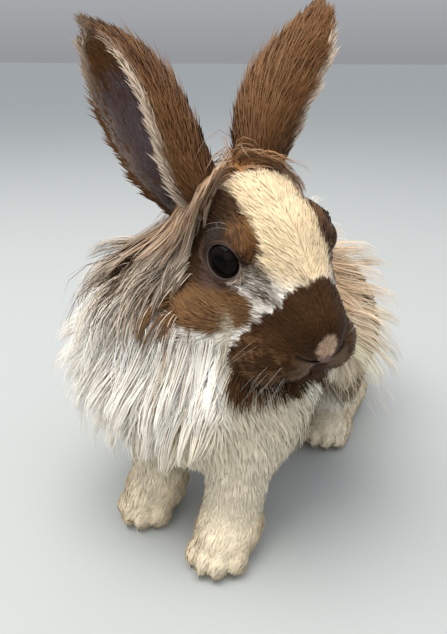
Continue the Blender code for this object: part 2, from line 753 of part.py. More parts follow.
def grow_locks(thing, lines, solver="MANIFOLD"):
    """Joins locks, given as (kind, line, facing), to a node by one union."""
    chance = np.random.default_rng(SEED + 5)
    locks = bpy.data.collections.new("locks")
    bpy.context.scene.collection.children.link(locks)
    for i, (kind, line, face) in enumerate(lines):
        _, half_width, thickness, *_ = LOCK_KINDS[kind]
        size = chance.uniform(0.8, 1.2)
        locks.objects.link(add_lock(line, face, half_width * size, thickness, f"{kind}_{i}"))
    modifier = thing.modifiers.new("locks", "BOOLEAN")
    modifier.operation = "UNION"
    modifier.solver = solver
    modifier.operand_type = "COLLECTION"
    modifier.collection = locks
    applied(thing)
    for lock in list(locks.objects):
        bpy.data.objects.remove(lock, do_unlink=True)
    bpy.data.collections.remove(locks)
    merge = thing.modifiers.new("merge", "DECIMATE")
    merge.decimate_type = "DISSOLVE"
    merge.angle_limit = math.radians(FLAT_ANGLE)
    applied(thing)


COLOURS = {
    "head": (0.30, 0.19, 0.11),
    "neck": (0.78, 0.72, 0.64),
    "torso": (0.42, 0.33, 0.22),
    "tail": (0.62, 0.55, 0.45),
    "ear": (0.16, 0.09, 0.045),
    "eye": (0.008, 0.006, 0.005),
    "foreleg": (0.80, 0.76, 0.70),
    "forepaw": (0.82, 0.78, 0.72),
    "haunch": (0.40, 0.31, 0.20),
    "hind_foot": (0.80, 0.72, 0.60),
}


def finish(pieces):
    """Names, colours and places the nodes, in metres, on the origin."""
    bounds = np.concatenate([mesh_points(piece.data) for piece in pieces.values()])
    low, high = bounds.min(axis=0), bounds.max(axis=0)
    shift = np.array([(low[0] + high[0]) / 2, (low[1] + high[1]) / 2, low[2]])
    rabbit = bpy.data.collections.new("lionhead_rabbit")
    bpy.context.scene.collection.children.link(rabbit)
    for name, piece in sorted(pieces.items()):
        set_mesh_points(piece.data, (mesh_points(piece.data) - shift) * MM)
        piece.name = name
        piece.data.name = name
        bpy.context.scene.collection.objects.unlink(piece)
        rabbit.objects.link(piece)
        material = bpy.data.materials.new(name)
        material.use_nodes = True
        surface = material.node_tree.nodes["Principled BSDF"]
        colour = COLOURS[name.replace("_left", "").replace("_right", "")]
        surface.inputs["Base Color"].default_value = (*colour, 1.0)
        surface.inputs["Roughness"].default_value = 0.08 if "eye" in name else 0.85
        piece.data.materials.clear()
        piece.data.materials.append(material)
    print(len(pieces), "nodes", sum(len(piece.data.polygons) for piece in pieces.values()))
    print("size in mm", np.round(high - low, 1), "shift", np.round(shift, 2))


def build():
    clear_scene()
    pieces = cut_pieces()
    head = pieces["head"]
    for side, word in ((1.0, "left"), (-1.0, "right")):
        name = "ear_" + word
        full = ear(side, name)
        grow_locks(full, [("ear", *pair) for pair in ear_locks(side)])
        clear_of(full, head)
        pieces[name] = largest_body(full)
    pieces.update(open_eyes(head))
    seeds = lock_seeds()
    mane = []
    for kind in LOCK_KINDS:
        if kind not in ("tail", "ear"):
            mane += lock_paths(kind, seeds[kind])
    grow_locks(head, mane)
    grow_locks(pieces["tail"], lock_paths("tail", seeds["tail"]))
    for name in ("neck", "torso", "foreleg_left", "foreleg_right", "ear_left", "ear_right"):
        clear_of(head, pieces[name])
    clear_of(pieces["tail"], pieces["torso"])
    for piece in pieces.values():
        largest_body(piece)
        print(piece.name, len(piece.data.polygons))
    finish(pieces)


if __name__ == "__main__":
    build()
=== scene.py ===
# %% [markdown]
# # A lionhead rabbit, life size
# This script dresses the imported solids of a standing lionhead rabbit. The solids give the
# outline, out to the tips of the coat. Here one skin takes their place, lying inside them by
# the depth of the fur, and many small closed tufts of mesh grow out of it.
# Everything is worked out in millimetres and moved into Blender's metres at the end.

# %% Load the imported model
import itertools
import math

import bmesh
import bpy
import numpy as np
from mathutils import Matrix, Vector
from mathutils.bvhtree import BVHTree
from mathutils.kdtree import KDTree


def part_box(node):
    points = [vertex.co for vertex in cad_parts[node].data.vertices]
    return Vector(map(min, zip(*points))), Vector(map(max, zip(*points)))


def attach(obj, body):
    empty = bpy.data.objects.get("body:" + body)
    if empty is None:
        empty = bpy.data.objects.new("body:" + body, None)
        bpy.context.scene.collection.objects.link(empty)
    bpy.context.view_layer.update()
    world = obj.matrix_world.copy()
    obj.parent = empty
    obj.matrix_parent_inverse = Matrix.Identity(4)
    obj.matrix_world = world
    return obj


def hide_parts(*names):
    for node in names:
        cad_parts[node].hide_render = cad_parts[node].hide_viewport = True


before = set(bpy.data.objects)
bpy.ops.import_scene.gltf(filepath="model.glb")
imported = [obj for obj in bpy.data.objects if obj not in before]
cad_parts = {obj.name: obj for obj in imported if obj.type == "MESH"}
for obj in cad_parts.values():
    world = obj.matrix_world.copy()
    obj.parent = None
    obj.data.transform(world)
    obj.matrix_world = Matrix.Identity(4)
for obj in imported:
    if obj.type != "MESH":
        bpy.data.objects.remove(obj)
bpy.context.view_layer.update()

MM = 0.001
SEED = 11

# %% [markdown]
# ## Where the head sits
# The head has a frame of its own: left, forward and up from between the eyes. Its origin is
# read from the two eye nodes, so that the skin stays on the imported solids. The body's masses
# are given from the midpoint between the forepaws, and SHIFT moves them to where the head is.

# %% Frames of the head and the body
HEAD_CENTRE = np.array([33.5, 16.5, 144.2])
HEAD_TURN = 50.5
HEAD_NOD = 21.3
HEAD_TILT = -6.4
EYE_PLACE = (21.0, 1.0, 0.0)
EYE_RADIUS = 8.9


def unit(vectors):
    """Vectors scaled to length 1, along the last axis."""
    return vectors / np.maximum(np.linalg.norm(vectors, axis=-1, keepdims=True), 1e-9)


def turned(x=0.0, y=0.0, z=0.0):
    """A rotation matrix from angles in degrees about X, then Y, then Z."""
    order = Matrix.Rotation(math.radians(z), 3, "Z")
    order = order @ Matrix.Rotation(math.radians(y), 3, "Y")
    return np.array(order @ Matrix.Rotation(math.radians(x), 3, "X"))


def head_frame():
    """Columns are the head's own left, forward and up."""
    turn, nod, tilt = (math.radians(a) for a in (HEAD_TURN, HEAD_NOD, HEAD_TILT))
    flat = math.cos(nod)
    forward = np.array([math.sin(turn) * flat, -math.cos(turn) * flat, -math.sin(nod)])
    left = np.array([math.cos(turn), math.sin(turn), 0.0])
    up = np.cross(forward, left)
    left_tilted = math.cos(tilt) * left - math.sin(tilt) * up
    return np.stack([left_tilted, forward, math.sin(tilt) * left + math.cos(tilt) * up], axis=1)


def middle(node):
    low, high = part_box(node)
    return np.array((low + high) / 2) / MM


HEAD = head_frame()
LEFT, AHEAD, UP = HEAD.T
DOWN = np.array([0.0, 0.0, -1.0])
SIDES = {"left": 1.0, "right": -1.0}
between_eyes = (middle("eye_left") + middle("eye_right")) / 2
SHIFT = between_eyes - AHEAD * EYE_PLACE[1] - HEAD_CENTRE
print("shift of the body's masses in mm:", SHIFT.round(2))


def on_head(point):
    """A point given as left, forward, up from between the eyes."""
    return HEAD_CENTRE + HEAD @ np.asarray(point, float)


def head_coords(points):
    return (points - HEAD_CENTRE) @ HEAD


def to_frame(points):
    """From the body's millimetres to Blender's metres."""
    return (np.asarray(points) + SHIFT) * MM


# %% [markdown]
# ## The camera
# The camera looks down at the rabbit from its front and right, close by, so the forepaws and
# the muzzle look large. It is placed by its angles, and sees 50 degrees from top to bottom.

# %% Camera
CAMERA_PLACE = (129.0, -250.4, 220.0)
CAMERA_AZIMUTH = 24.0
CAMERA_DOWN = 21.0
FIELD_OF_VIEW = 50.0
SENSOR = 36.0
NEAREST_SEEN = 0.01

camera = bpy.data.objects.new("camera", bpy.data.cameras.new("camera"))
bpy.context.scene.collection.objects.link(camera)
bpy.context.scene.camera = camera
camera.data.sensor_width = SENSOR
camera.data.lens = SENSOR / 2 / math.tan(math.radians(FIELD_OF_VIEW / 2))
camera.data.clip_start = NEAREST_SEEN
camera.location = to_frame(CAMERA_PLACE)
azimuth, down = math.radians(CAMERA_AZIMUTH), math.radians(CAMERA_DOWN)
level = math.cos(down)
look = Vector((-math.sin(azimuth) * level, math.cos(azimuth) * level, -math.sin(down)))
camera.rotation_mode = "QUATERNION"
camera.rotation_quaternion = look.to_track_quat("-Z", "Y")
print("camera at", [round(c, 3) for c in camera.location])

# %% [markdown]
# ## The studio
# A pale floor, a wide soft light overhead and a weaker one from the front. Fur is many thin
# edges, and one small hard lamp would make each of them a speck of light or shade. The light
# from all round grows stronger with height, as in a room, so the floor fades into it.

# %% Floor and lights
FLOOR_SIZE = 40.0
FLOOR_COLOUR = (0.46, 0.48, 0.48, 1.0)
ROOM_COLOUR = (0.92, 0.95, 1.0, 1.0)
ROOM_STRENGTHS = {"From Min": 0.0, "From Max": 0.45, "To Min": 0.33, "To Max": 0.86}


def new_material(name):
    """A node material and its Principled shader."""
    material = bpy.data.materials.new(name)
    material.use_nodes = True
    return material, material.node_tree.nodes["Principled BSDF"]


def area_light(name, place, aim, size, power, colour):
    lamp = bpy.data.objects.new(name, bpy.data.lights.new(name, "AREA"))
    lamp.data.size = size
    lamp.data.energy = power
    lamp.data.color = colour
    lamp.location = place
    lamp.rotation_mode = "QUATERNION"
    lamp.rotation_quaternion = (Vector(aim) - Vector(place)).to_track_quat("-Z", "Y")
    bpy.context.scene.collection.objects.link(lamp)


bpy.ops.mesh.primitive_plane_add(size=FLOOR_SIZE)
floor = bpy.context.object
floor.name = "floor"
floor_material, floor_shader = new_material("pale_floor")
floor_shader.inputs["Base Color"].default_value = FLOOR_COLOUR
floor_shader.inputs["Roughness"].default_value = 0.9
floor_shader.inputs["Specular IOR Level"].default_value = 0.0
floor.data.materials.append(floor_material)

world = bpy.data.worlds.new("studio")
bpy.context.scene.world = world
world.use_nodes = True
backdrop, links = world.node_tree.nodes, world.node_tree.links
backdrop["Background"].inputs["Color"].default_value = ROOM_COLOUR
direction = backdrop.new("ShaderNodeTexCoord")
height = backdrop.new("ShaderNodeSeparateXYZ")
brighter = backdrop.new("ShaderNodeMapRange")
for socket, value in ROOM_STRENGTHS.items():
    brighter.inputs[socket].default_value = value
links.new(direction.outputs["Generated"], height.inputs["Vector"])
links.new(height.outputs["Z"], brighter.inputs["Value"])
links.new(brighter.outputs["Result"], backdrop["Background"].inputs["Strength"])
area_light("overhead", place=(-0.20, -0.25, 1.30), aim=(0.0, -0.03, 0.1), size=1.2, power=20.5,
           colour=(1.0, 0.96, 0.89))
area_light("front", place=(0.2, -1.2, 0.6), aim=(0.0, 0.0, 0.1), size=0.8, power=1.8,
           colour=(1.0, 0.95, 0.88))
bpy.context.scene.view_settings.view_transform = "Standard"

# %% [markdown]
# ## The form under the coat
# A rabbit has no hard edges, so its form is a field: each mass of flesh is an ellipsoid or a
# tapered limb, and the distances to them are blended softly where they meet. The same masses
# shaped the solids. From the field come the skin, the lie of the fur and its height.


# %% Masses of flesh
class Egg:
    """An ellipsoid of flesh: centre, three radii, how softly it blends, and its own axes."""

    def __init__(self, centre, radii, blend, axes=None):
        self.centre = np.asarray(centre, np.float32)
        self.radii = np.asarray(radii, np.float32)
        self.blend = blend
        self.axes = np.asarray(np.eye(3) if axes is None else axes, np.float32)

    def distance(self, points):
        local = (points - self.centre) @ self.axes
        near = np.linalg.norm(local / self.radii, axis=1)
        steep = np.linalg.norm(local / self.radii**2, axis=1) + 1e-9
        return near * (near - 1.0) / steep

    def rough(self):
        return self.centre, self.radii, self.axes


class Limb:
    """A round tapered stretch of flesh between two points."""

    def __init__(self, start, start_radius, end, end_radius, blend):
        self.start = np.asarray(start, np.float32)
        self.end = np.asarray(end, np.float32)
        self.radius = (start_radius, end_radius)
        self.blend = blend

    def distance(self, points):
        along = self.end - self.start
        share = np.clip((points - self.start) @ along / (along @ along), 0.0, 1.0)
        axis = self.start + share[:, None] * along
        thick = self.radius[0] + share * (self.radius[1] - self.radius[0])
        return np.linalg.norm(points - axis, axis=1) - thick

    def rough(self):
        along = self.end - self.start
        length = np.linalg.norm(along)
        z = along / length
        x = unit(np.cross([0.0, 1.0, 0.0] if abs(z[1]) < 0.9 else [1.0, 0.0, 0.0], z))
        mean = sum(self.radius) / 2
        radii = np.array([mean, mean, length / 2 + mean])
        return (self.start + self.end) / 2, radii, np.stack([x, np.cross(z, x), z], axis=1)


def both_sides(make):
    return [make(1.0), make(-1.0)]


def head_egg(centre, radii, blend, tilt=0.0, yaw=0.0):
    return Egg(on_head(centre), radii, blend, HEAD @ turned(x=tilt, z=yaw))


def head_limb(start, start_radius, end, end_radius, blend):
    return Limb(on_head(start), start_radius, on_head(end), end_radius, blend)


HEAD_MASSES = [
    head_egg((0, -17, 0), (23, 28, 24), 8),
    head_egg((0, 4, 3), (19, 26, 18), 8, tilt=-18),
    head_limb((0, 8, 3.5), 16.0, (0, 38, -12), 13.5, 8),
    head_egg((0, 44, -19), (8.5, 8.0, 8.0), 4),
    head_limb((0, 8, -28), 16.0, (0, 31, -34), 10.5, 6),
    head_egg((0, 35, -39), (9.5, 9.5, 7.0), 4),
    *both_sides(lambda s: head_egg((s * 9.5, 36, -26), (12.5, 13.5, 12.5), 4, yaw=s * 8)),
    *both_sides(lambda s: head_egg((s * 15.5, 28, -34), (12.5, 15, 13), 6, yaw=s * 12)),
    *both_sides(lambda s: head_egg((s * 12, 8, -19), (14, 27, 19), 8, yaw=s * 10)),
    *both_sides(lambda s: head_egg((s * 15, -14, -18), (14, 22, 21), 8)),
    *both_sides(lambda s: head_egg((s * 18.5, 3, 8.5), (7.5, 12, 5.5), 5, tilt=-12, yaw=s * 6)),
]
BODY_MASSES = [
    Limb(on_head((0, -26, -8)), 27, (2, 38, 104), 37, 12),
    Egg((1, 24, 113), (50, 40, 27), 12, turned(z=HEAD_TURN)),
    Egg((0, 15, 71), (51, 37, 41), 12, turned(x=-12)),
    Egg((0, 46, 83), (53, 44, 36), 12),
    Egg((0, 94, 78), (48, 66, 40), 14),
    Egg((0, 146, 72), (46, 52, 44), 14, turned(x=-8)),
    Egg((0, 178, 60), (38, 30, 36), 12),
]
TAIL_MASSES = [Egg((0, 207, 68), (13, 15, 21), 6, turned(x=-24))]
print(len(HEAD_MASSES), "masses in the head,", len(BODY_MASSES), "in the body")

# %% [markdown]
# ## Legs and toes
# Each foot stands on the floor, so its masses are laid out from the floor up. A toe is given by
# how far it lies to the side and ahead of the foot's middle, and by the angle that it splays.

# %% Masses of the legs
FORE_SPREAD, FORE_STAGGER = 24.0, 8.5
HIND_SPREAD, HIND_TOES, HIND_LENGTH = 39.0, 91.0, 78.0
TOE_HEIGHT = 6.6
FORE_TOES = ((-9.6, -12, -6), (-3.3, -16.5, -2), (3.4, -16, 3), (9.6, -10.5, 8))
HIND_TOE_ROW = ((-9, 12.5, -5), (-3.1, 9.5, -2), (3.1, 10.5, 2), (9, 15, 6))


def toe_masses(side, x, y, row, radii):
    toes = []
    for aside, ahead, splay in row:
        place = (x + side * aside, y + ahead, TOE_HEIGHT)
        toes.append(Egg(place, radii, 2.0, turned(z=side * splay)))
    return toes


def foreleg_masses(side):
    x, y = side * FORE_SPREAD, -side * FORE_STAGGER
    return [
        Egg((side * 31, y * 0.5 + 26, 66), (21, 28, 34), 10, turned(x=-14)),
        Limb((side * 26, y + 14, 54), 18.0, (x, y + 4, 22), 15.0, 8),
        Egg((x, y - 1, 11.5), (16, 19, 13.0), 6),
        *toe_masses(side, x, y, FORE_TOES, (5.8, 9.5, 7.8)),
    ]


def hindleg_masses(side):
    x, toes = side * HIND_SPREAD, HIND_TOES
    return [
        Egg((side * 35, 146, 54), (22, 44, 41), 8, turned(x=-18)),
        Egg((side * 38, 115, 38), (18, 23, 23), 8, turned(x=-20)),
        Limb((x, toes + HIND_LENGTH - 12, 12), 12.8, (x, toes + 20, 10), 12.0, 6),
        Egg((x, toes + 20, 9), (14.5, 17, 10.5), 5),
        *toe_masses(side, x, toes, HIND_TOE_ROW, (5.6, 11.5, 7.6)),
    ]


FORE_MASSES = foreleg_masses(1.0) + foreleg_masses(-1.0)
HIND_MASSES = hindleg_masses(1.0) + hindleg_masses(-1.0)
MASSES = BODY_MASSES + TAIL_MASSES + FORE_MASSES + HIND_MASSES + HEAD_MASSES
ORBITS = both_sides(lambda s: head_egg((s * 45, 2, 2), (16, 20, 17), 9))
print(len(MASSES), "masses of flesh,", len(ORBITS), "hollows beside the eyes")

# %% [markdown]
# ## A table of the field
# Every hair asks many times how far it is from the body and which way is out. Working that
# out from all the masses each time is slow, so the answers are tabled once on a 2 mm grid and
# read from there by linear interpolation.

# %% Field and its table
TABLE_LOW = np.array([-90.0, -80.0, -14.0])
TABLE_STEP = 2.0
TABLE_SHAPE = (94, 166, 140)


def soft_union(first, second, blend):
    share = np.clip(blend - np.abs(first - second), 0.0, None) / blend
    return np.minimum(first, second) - share * share * blend / 4.0


def coat_distance(points, masses=MASSES):
    """Distance in mm of each point from the outside of the coat, below 0 inside."""
    points = np.asarray(points, np.float32)
    field = masses[0].distance(points)
    for mass in masses[1:]:
        field = soft_union(field, mass.distance(points), mass.blend)
    if masses is MASSES:
        for hollow in ORBITS:
            field = -soft_union(-field, hollow.distance(points), hollow.blend)
    return field


def slope(field, points, step=0.15):
    """The gradient of a field by central differences."""
    parts = []
    for axis in range(3):
        shift = np.zeros(3)
        shift[axis] = step
        parts.append((field(points + shift) - field(points - shift)) / (2 * step))
    return np.stack(parts, axis=1)


def table_of(values):
    """Values on the grid with their gradients beside them."""
    steps = np.gradient(values, TABLE_STEP)
    return np.stack([values, *steps], axis=-1).astype(np.float32)


def read_table(table, points):
    """(value, gradient) at each point."""
    at = (points - TABLE_LOW) / TABLE_STEP
    cell = np.clip(np.floor(at).astype(int), 0, np.array(TABLE_SHAPE) - 2)
    part = np.clip(at - cell, 0.0, 1.0)
    total = np.zeros((len(points), table.shape[-1]))
    for corner in itertools.product((0, 1), repeat=3):
        weight = np.prod(np.where(corner, part, 1.0 - part), axis=1)
        total += weight[:, None] * table[tuple((cell + corner).T)]
    return total[:, 0], total[:, 1:4]


print("the table's grid:", TABLE_SHAPE, "points,", TABLE_STEP, "mm apart")

# %% [markdown]
# ## Room for the ears and the eyes
# Long hair must not run through an ear or over an eye, so a second table adds a limb round each
# ear and a ball in front of each eye to the coat. The strands of the mane walk over that one.

# %% Places of the ears and the eyes
EAR_ROOTS = {-1.0: (-11.0, -35.0, 11.0), 1.0: (4.0, -36.0, 11.0)}
EAR_TIPS = {-1.0: (-45.0, 4.5, 231.5), 1.0: (30.0, 76.5, 241.0)}
EAR_BREADTHS = {-1.0: 1.24, 1.0: 0.95}


def ear_root(side):
    return on_head(EAR_ROOTS[side])


def eye_centre(side):
    return on_head((side * EYE_PLACE[0], EYE_PLACE[1], EYE_PLACE[2]))


def eye_axes(side):
    """Columns: along the lids, up, and out of the head, for one eye."""
    out = unit(np.array([side * 0.85, 0.47, 0.20]))
    up = unit(np.array([0.0, 0.0, 1.0]) - out * out[2])
    return HEAD @ np.stack([np.cross(up, out), up, out], axis=1)


def eye_front(side):
    """A point in the opening of one eye's lids."""
    return eye_centre(side) + eye_axes(side)[:, 2] * 6.0


def eye_coords(points, side):
    """Points in one eye's own frame, from the middle of the ball."""
    return (points - eye_centre(side)) @ eye_axes(side)


def guard_distance(points, coat):
    """The coat's distance, with room kept clear round the ears and the eyes."""
    for side in SIDES.values():
        ear_limb = Limb(ear_root(side), 9.0, EAR_TIPS[side], 13.0, 1.0)
        eye_room = Egg(eye_front(side), (14.0,) * 3, 1.0)
        coat = np.minimum(coat, ear_limb.distance(points))
        coat = np.minimum(coat, eye_room.distance(points))
    return coat


ticks = [TABLE_LOW[i] + TABLE_STEP * np.arange(TABLE_SHAPE[i]) for i in range(3)]
lattice = np.stack(np.meshgrid(*ticks, indexing="ij"), axis=-1).reshape(-1, 3).astype(np.float32)
coat_values = coat_distance(lattice)
COAT = table_of(coat_values.reshape(TABLE_SHAPE))
GUARD = table_of(guard_distance(lattice, coat_values).reshape(TABLE_SHAPE))
print("table of", len(lattice), "points")

# %% [markdown]
# ## The skin
# One closed skin replaces all the nodes of flesh, so that no seam shows. It could be joined
# from many parts, but a voxel remesh of the rough masses, drawn onto the field, is one even
# surface. It lies deeper where the coat is deeper: 3.4 mm on the back, 1 mm on the muzzle.


# %% Skin of the head and body
def ramp(low, high, value):
    """0 below low, 1 above high, smooth between."""
    share = np.clip((value - low) / (high - low), 0.0, 1.0)
    return share * share * (3.0 - 2.0 * share)


def coat_depth(points):
    """How far the skin lies under the outside of the coat."""
    side, forward, up = head_coords(points).T
    depth = 1.5 + 1.9 * ramp(14.0, 60.0, points[:, 2])
    on_face = ramp(-34.0, -18.0, forward) * ramp(-46.0, -34.0, up) * (np.abs(side) < 45)
    depth = depth + (1.8 - depth) * on_face
    return depth - 0.8 * on_face * ramp(18.0, 34.0, forward)


def skin_distance(points):
    return coat_distance(points) + coat_depth(points)


def new_object(name, mesh):
    made = bpy.data.objects.new(name, mesh)
    bpy.context.scene.collection.objects.link(made)
    return made


def object_from(shape, name):
    """Moves a bmesh into a new object of this name."""
    mesh = bpy.data.meshes.new(name)
    shape.to_mesh(mesh)
    shape.free()
    return new_object(name, mesh)


def applied(thing):
    """Replaces an object's mesh by the mesh that its modifiers give."""
    graph = bpy.context.evaluated_depsgraph_get()
    fresh = bpy.data.meshes.new_from_object(thing.evaluated_get(graph))
    thing.modifiers.clear()
    old = thing.data
    thing.data = fresh
    bpy.data.meshes.remove(old)
    return thing


def points_of(mesh):
    found = np.empty(len(mesh.vertices) * 3, np.float32)
    mesh.vertices.foreach_get("co", found)
    return found.reshape(-1, 3).astype(float)


def set_points(mesh, points):
    mesh.vertices.foreach_set("co", np.asarray(points, np.float32).ravel())
    mesh.update()


def placed(axes, centre):
    rows = np.hstack([np.asarray(axes, float), np.reshape(centre, (3, 1))])
    return Matrix(np.vstack([rows, [[0, 0, 0, 1]]]).tolist())


def egg_object(name, centre, radii, axes, subdivisions=4):
    shape = bmesh.new()
    place = placed(axes @ np.diag(radii), centre)
    bmesh.ops.create_icosphere(shape, subdivisions=subdivisions, radius=1.0, matrix=place)
    bmesh.ops.recalc_face_normals(shape, faces=shape.faces)
    return object_from(shape, name)


def combine(thing, operation, tool):
    """Applies one Boolean to thing and removes the tool."""
    modifier = thing.modifiers.new("boolean", "BOOLEAN")
    modifier.operation = operation
    modifier.solver = "MANIFOLD"
    modifier.object = tool
    applied(thing)
    bpy.data.objects.remove(tool, do_unlink=True)


print("depth of the skin on the back in mm:", coat_depth(np.array([[0.0, 100.0, 90.0]])).round(1))

# %% [markdown]
# ## Drawing the skin onto the field
# The remesh gives even faces but rough places. Each point then steps along the slope of the
# field until it lies on the skin, four times, with one smoothing between.

# %% Remesh and fit the skin
SKIN_VOXEL = 1.4
FITTING_ROUNDS = 4
LONGEST_STEP = 3.0
cage = bmesh.new()
for mass in MASSES:
    centre, radii, axes = mass.rough()
    place = placed(axes @ np.diag(radii), centre)
    bmesh.ops.create_icosphere(cage, subdivisions=3, radius=1.0, matrix=place)
skin = object_from(cage, "skin")
remesh = skin.modifiers.new("remesh", "REMESH")
remesh.mode = "VOXEL"
remesh.voxel_size = SKIN_VOXEL
applied(skin)
for round_number in range(FITTING_ROUNDS):
    points = points_of(skin.data)
    value, way = skin_distance(points), slope(skin_distance, points)
    step = value / np.maximum((way * way).sum(axis=1), 0.25)
    points -= np.clip(step, -LONGEST_STEP, LONGEST_STEP)[:, None] * way
    points[:, 2] = np.maximum(points[:, 2], 0.0)
    set_points(skin.data, points)
    if round_number == 1:
        smooth = skin.modifiers.new("smooth", "SMOOTH")
        smooth.iterations = 2
        applied(skin)
print("skin:", len(skin.data.polygons), "faces")

# %% [markdown]
# ## Lids, nostrils and the split lip
# Small folds are cut and added with Booleans: a bulge for the lids, an opening, a socket that
# fits the eyeball, and thin grooves for the nostrils, the split lip and the mouth.

# %% Folds of the face
LID = 1.6
EYE_OPENING = (8.5, 7.8)


def groove(centre, radii, tilt=0.0, roll=0.0):
    axes = HEAD @ turned(x=tilt, y=roll)
    combine(skin, "DIFFERENCE", egg_object("groove", on_head(centre), radii, axes, 3))


for side in SIDES.values():
    centre, axes = eye_centre(side), eye_axes(side)
    outer = EYE_RADIUS + LID
    lids = egg_object("lids", centre, (outer + 0.4, outer + 0.4, outer - 0.3), axes)
    combine(skin, "UNION", lids)
    wide, high = EYE_OPENING
    front = centre + axes[:, 2] * EYE_RADIUS
    opening = egg_object("opening", front, (wide * 1.1, high * 1.1, 9.0), axes)
    combine(skin, "DIFFERENCE", opening)
    combine(skin, "DIFFERENCE", egg_object("socket", centre, (EYE_RADIUS + 0.25,) * 3, axes))
    groove((side * 6.4, 49.6, -20.6), (4.6, 3.6, 1.1), roll=side * -22)
groove((0, 49.0, -29.5), (0.7, 4.5, 8.0))
groove((0, 36.5, -38.0), (14.0, 14.0, 0.9), tilt=8)
print("skin after the folds:", len(skin.data.polygons), "faces")

# %% [markdown]
# ## The ears
# Each ear is a curled leaf: wide in the middle, almost a tube at its root, open at its tip.
# A leaf given by two numbers, along and across, makes the skin and also says where each hair
# of the ear grows and which way it lies.

# %% Ears
EAR_HALF_WALL = 0.22 * 3.2
EAR_SUNK = -0.06
EAR_END = 0.985
EAR_RIM = 0.97
EAR_BENDS = {-1.0: 10.0, 1.0: 15.0}
EAR_BEND_LEANS = {-1.0: 1.4, 1.0: 0.8}
EAR_OPENINGS = {-1.0: (-0.97, 0.02, 0.1), 1.0: (0.97, -0.15, 0.1)}
EAR_STATIONS = (0.0, 0.12, 0.3, 0.5, 0.7, 0.85, 0.95, 1.0)
EAR_HALF_WIDTHS = (24.0, 27.0, 31.0, 32.0, 28.0, 19.0, 11.0, 1.5)
EAR_CURLS = (152.0, 142.0, 118.0, 98.0, 85.0, 73.0, 60.0, 50.0)


def ear_surface(side, along, across, depth):
    """Points on an ear: along 0 to 1 from root to tip, across -1 to 1, depth in mm inward."""
    root, tip = ear_root(side), np.array(EAR_TIPS[side])
    reach = np.linalg.norm(tip - root)
    axis = (tip - root) / reach
    opening = HEAD @ np.array(EAR_OPENINGS[side])
    opening = unit(opening - axis * (opening @ axis))
    width = np.cross(axis, opening)
    bend = EAR_BENDS[side] * np.sin(np.pi * np.clip(along, 0.0, 1.0) ** EAR_BEND_LEANS[side])
    curl = np.radians(np.interp(along, EAR_STATIONS, EAR_CURLS))
    radius = EAR_BREADTHS[side] * np.interp(along, EAR_STATIONS, EAR_HALF_WIDTHS) / curl
    angle = across * curl
    near = radius - depth
    spine = root + (along * reach)[..., None] * axis - bend[..., None] * opening
    arc = (radius - near * np.cos(angle))[..., None] * opening
    return spine + arc + (near * np.sin(angle))[..., None] * width


def ear_half_wall(along, across):
    """Half the thickness of an ear in mm, less towards its tip and its rims."""
    to_tip = np.clip(1.15 - along, 0.35, 1.0)
    return EAR_HALF_WALL * (to_tip * np.sqrt(np.clip(1.05 - across**2, 0.12, 1.0)))


def ear_leaf(side, lengthwise=64, crosswise=33):
    """A closed, thin curled leaf of skin."""
    rows = np.linspace(EAR_SUNK, EAR_END, lengthwise)
    columns = np.linspace(-EAR_RIM, EAR_RIM, crosswise)
    along, across = np.meshgrid(rows, columns, indexing="ij")
    thin = ear_half_wall(along, across)
    shape = bmesh.new()
    layers = []
    for depth in (-thin, thin):
        surface = ear_surface(side, along, across, depth)
        layers.append([[shape.verts.new(p) for p in row] for row in surface])
    for i in range(lengthwise - 1):
        for j in range(crosswise - 1):
            for layer in layers:
                near, far = layer[i], layer[i + 1]
                shape.faces.new([near[j], near[j + 1], far[j + 1], far[j]])
    outer, inner = layers
    for i in range(lengthwise - 1):
        for j in (0, crosswise - 1):
            shape.faces.new([outer[i][j], inner[i][j], inner[i + 1][j], outer[i + 1][j]])
    for j in range(crosswise - 1):
        for i in (0, lengthwise - 1):
            shape.faces.new([outer[i][j], inner[i][j], inner[i][j + 1], outer[i][j + 1]])
    bmesh.ops.recalc_face_normals(shape, faces=shape.faces)
    return object_from(shape, "ear")


for side in SIDES.values():
    combine(skin, "UNION", ear_leaf(side))
print("skin with the ears:", len(skin.data.polygons), "faces")

# %% [markdown]
# ## The skin is unwrapped on its own shape.
# The export bakes each material into a picture, so the skin is unwrapped on its own shape.
# Each tuft of fur later takes a tiny patch at its root's place on this unwrap.

# %% Unwrap
BAKE = "OFBake"
bpy.context.view_layer.objects.active = skin
skin.select_set(True)
bpy.ops.object.mode_set(mode="EDIT")
bpy.ops.mesh.select_all(action="SELECT")
bpy.ops.mesh.quads_convert_to_tris()
bpy.ops.uv.smart_project(angle_limit=math.radians(66), island_margin=0.002)
bpy.ops.object.mode_set(mode="OBJECT")
skin.data.uv_layers[0].name = BAKE
skin_points = points_of(skin.data)
skin_faces = np.empty(len(skin.data.polygons) * 3, np.int32)
skin.data.polygons.foreach_get("vertices", skin_faces)
skin_faces = skin_faces.reshape(-1, 3)
skin_uv = np.empty(len(skin.data.loops) * 2, np.float32)
skin.data.uv_layers[BAKE].uv.foreach_get("vector", skin_uv)
skin_uv = skin_uv.reshape(-1, 3, 2)
skin_tree = BVHTree.FromPolygons(skin_points.tolist(), skin_faces.tolist())
print("unwrapped", len(skin_faces), "triangles")

# %% [markdown]
# ## Markings
# The same function colours the skin and every tuft, so that they carry one pattern. It starts
# from white and lays marks over it: a brown patch round each eye and one over the muzzle, a
# cream blaze between them, brown ears and crown, and a ticked brown saddle on the back.

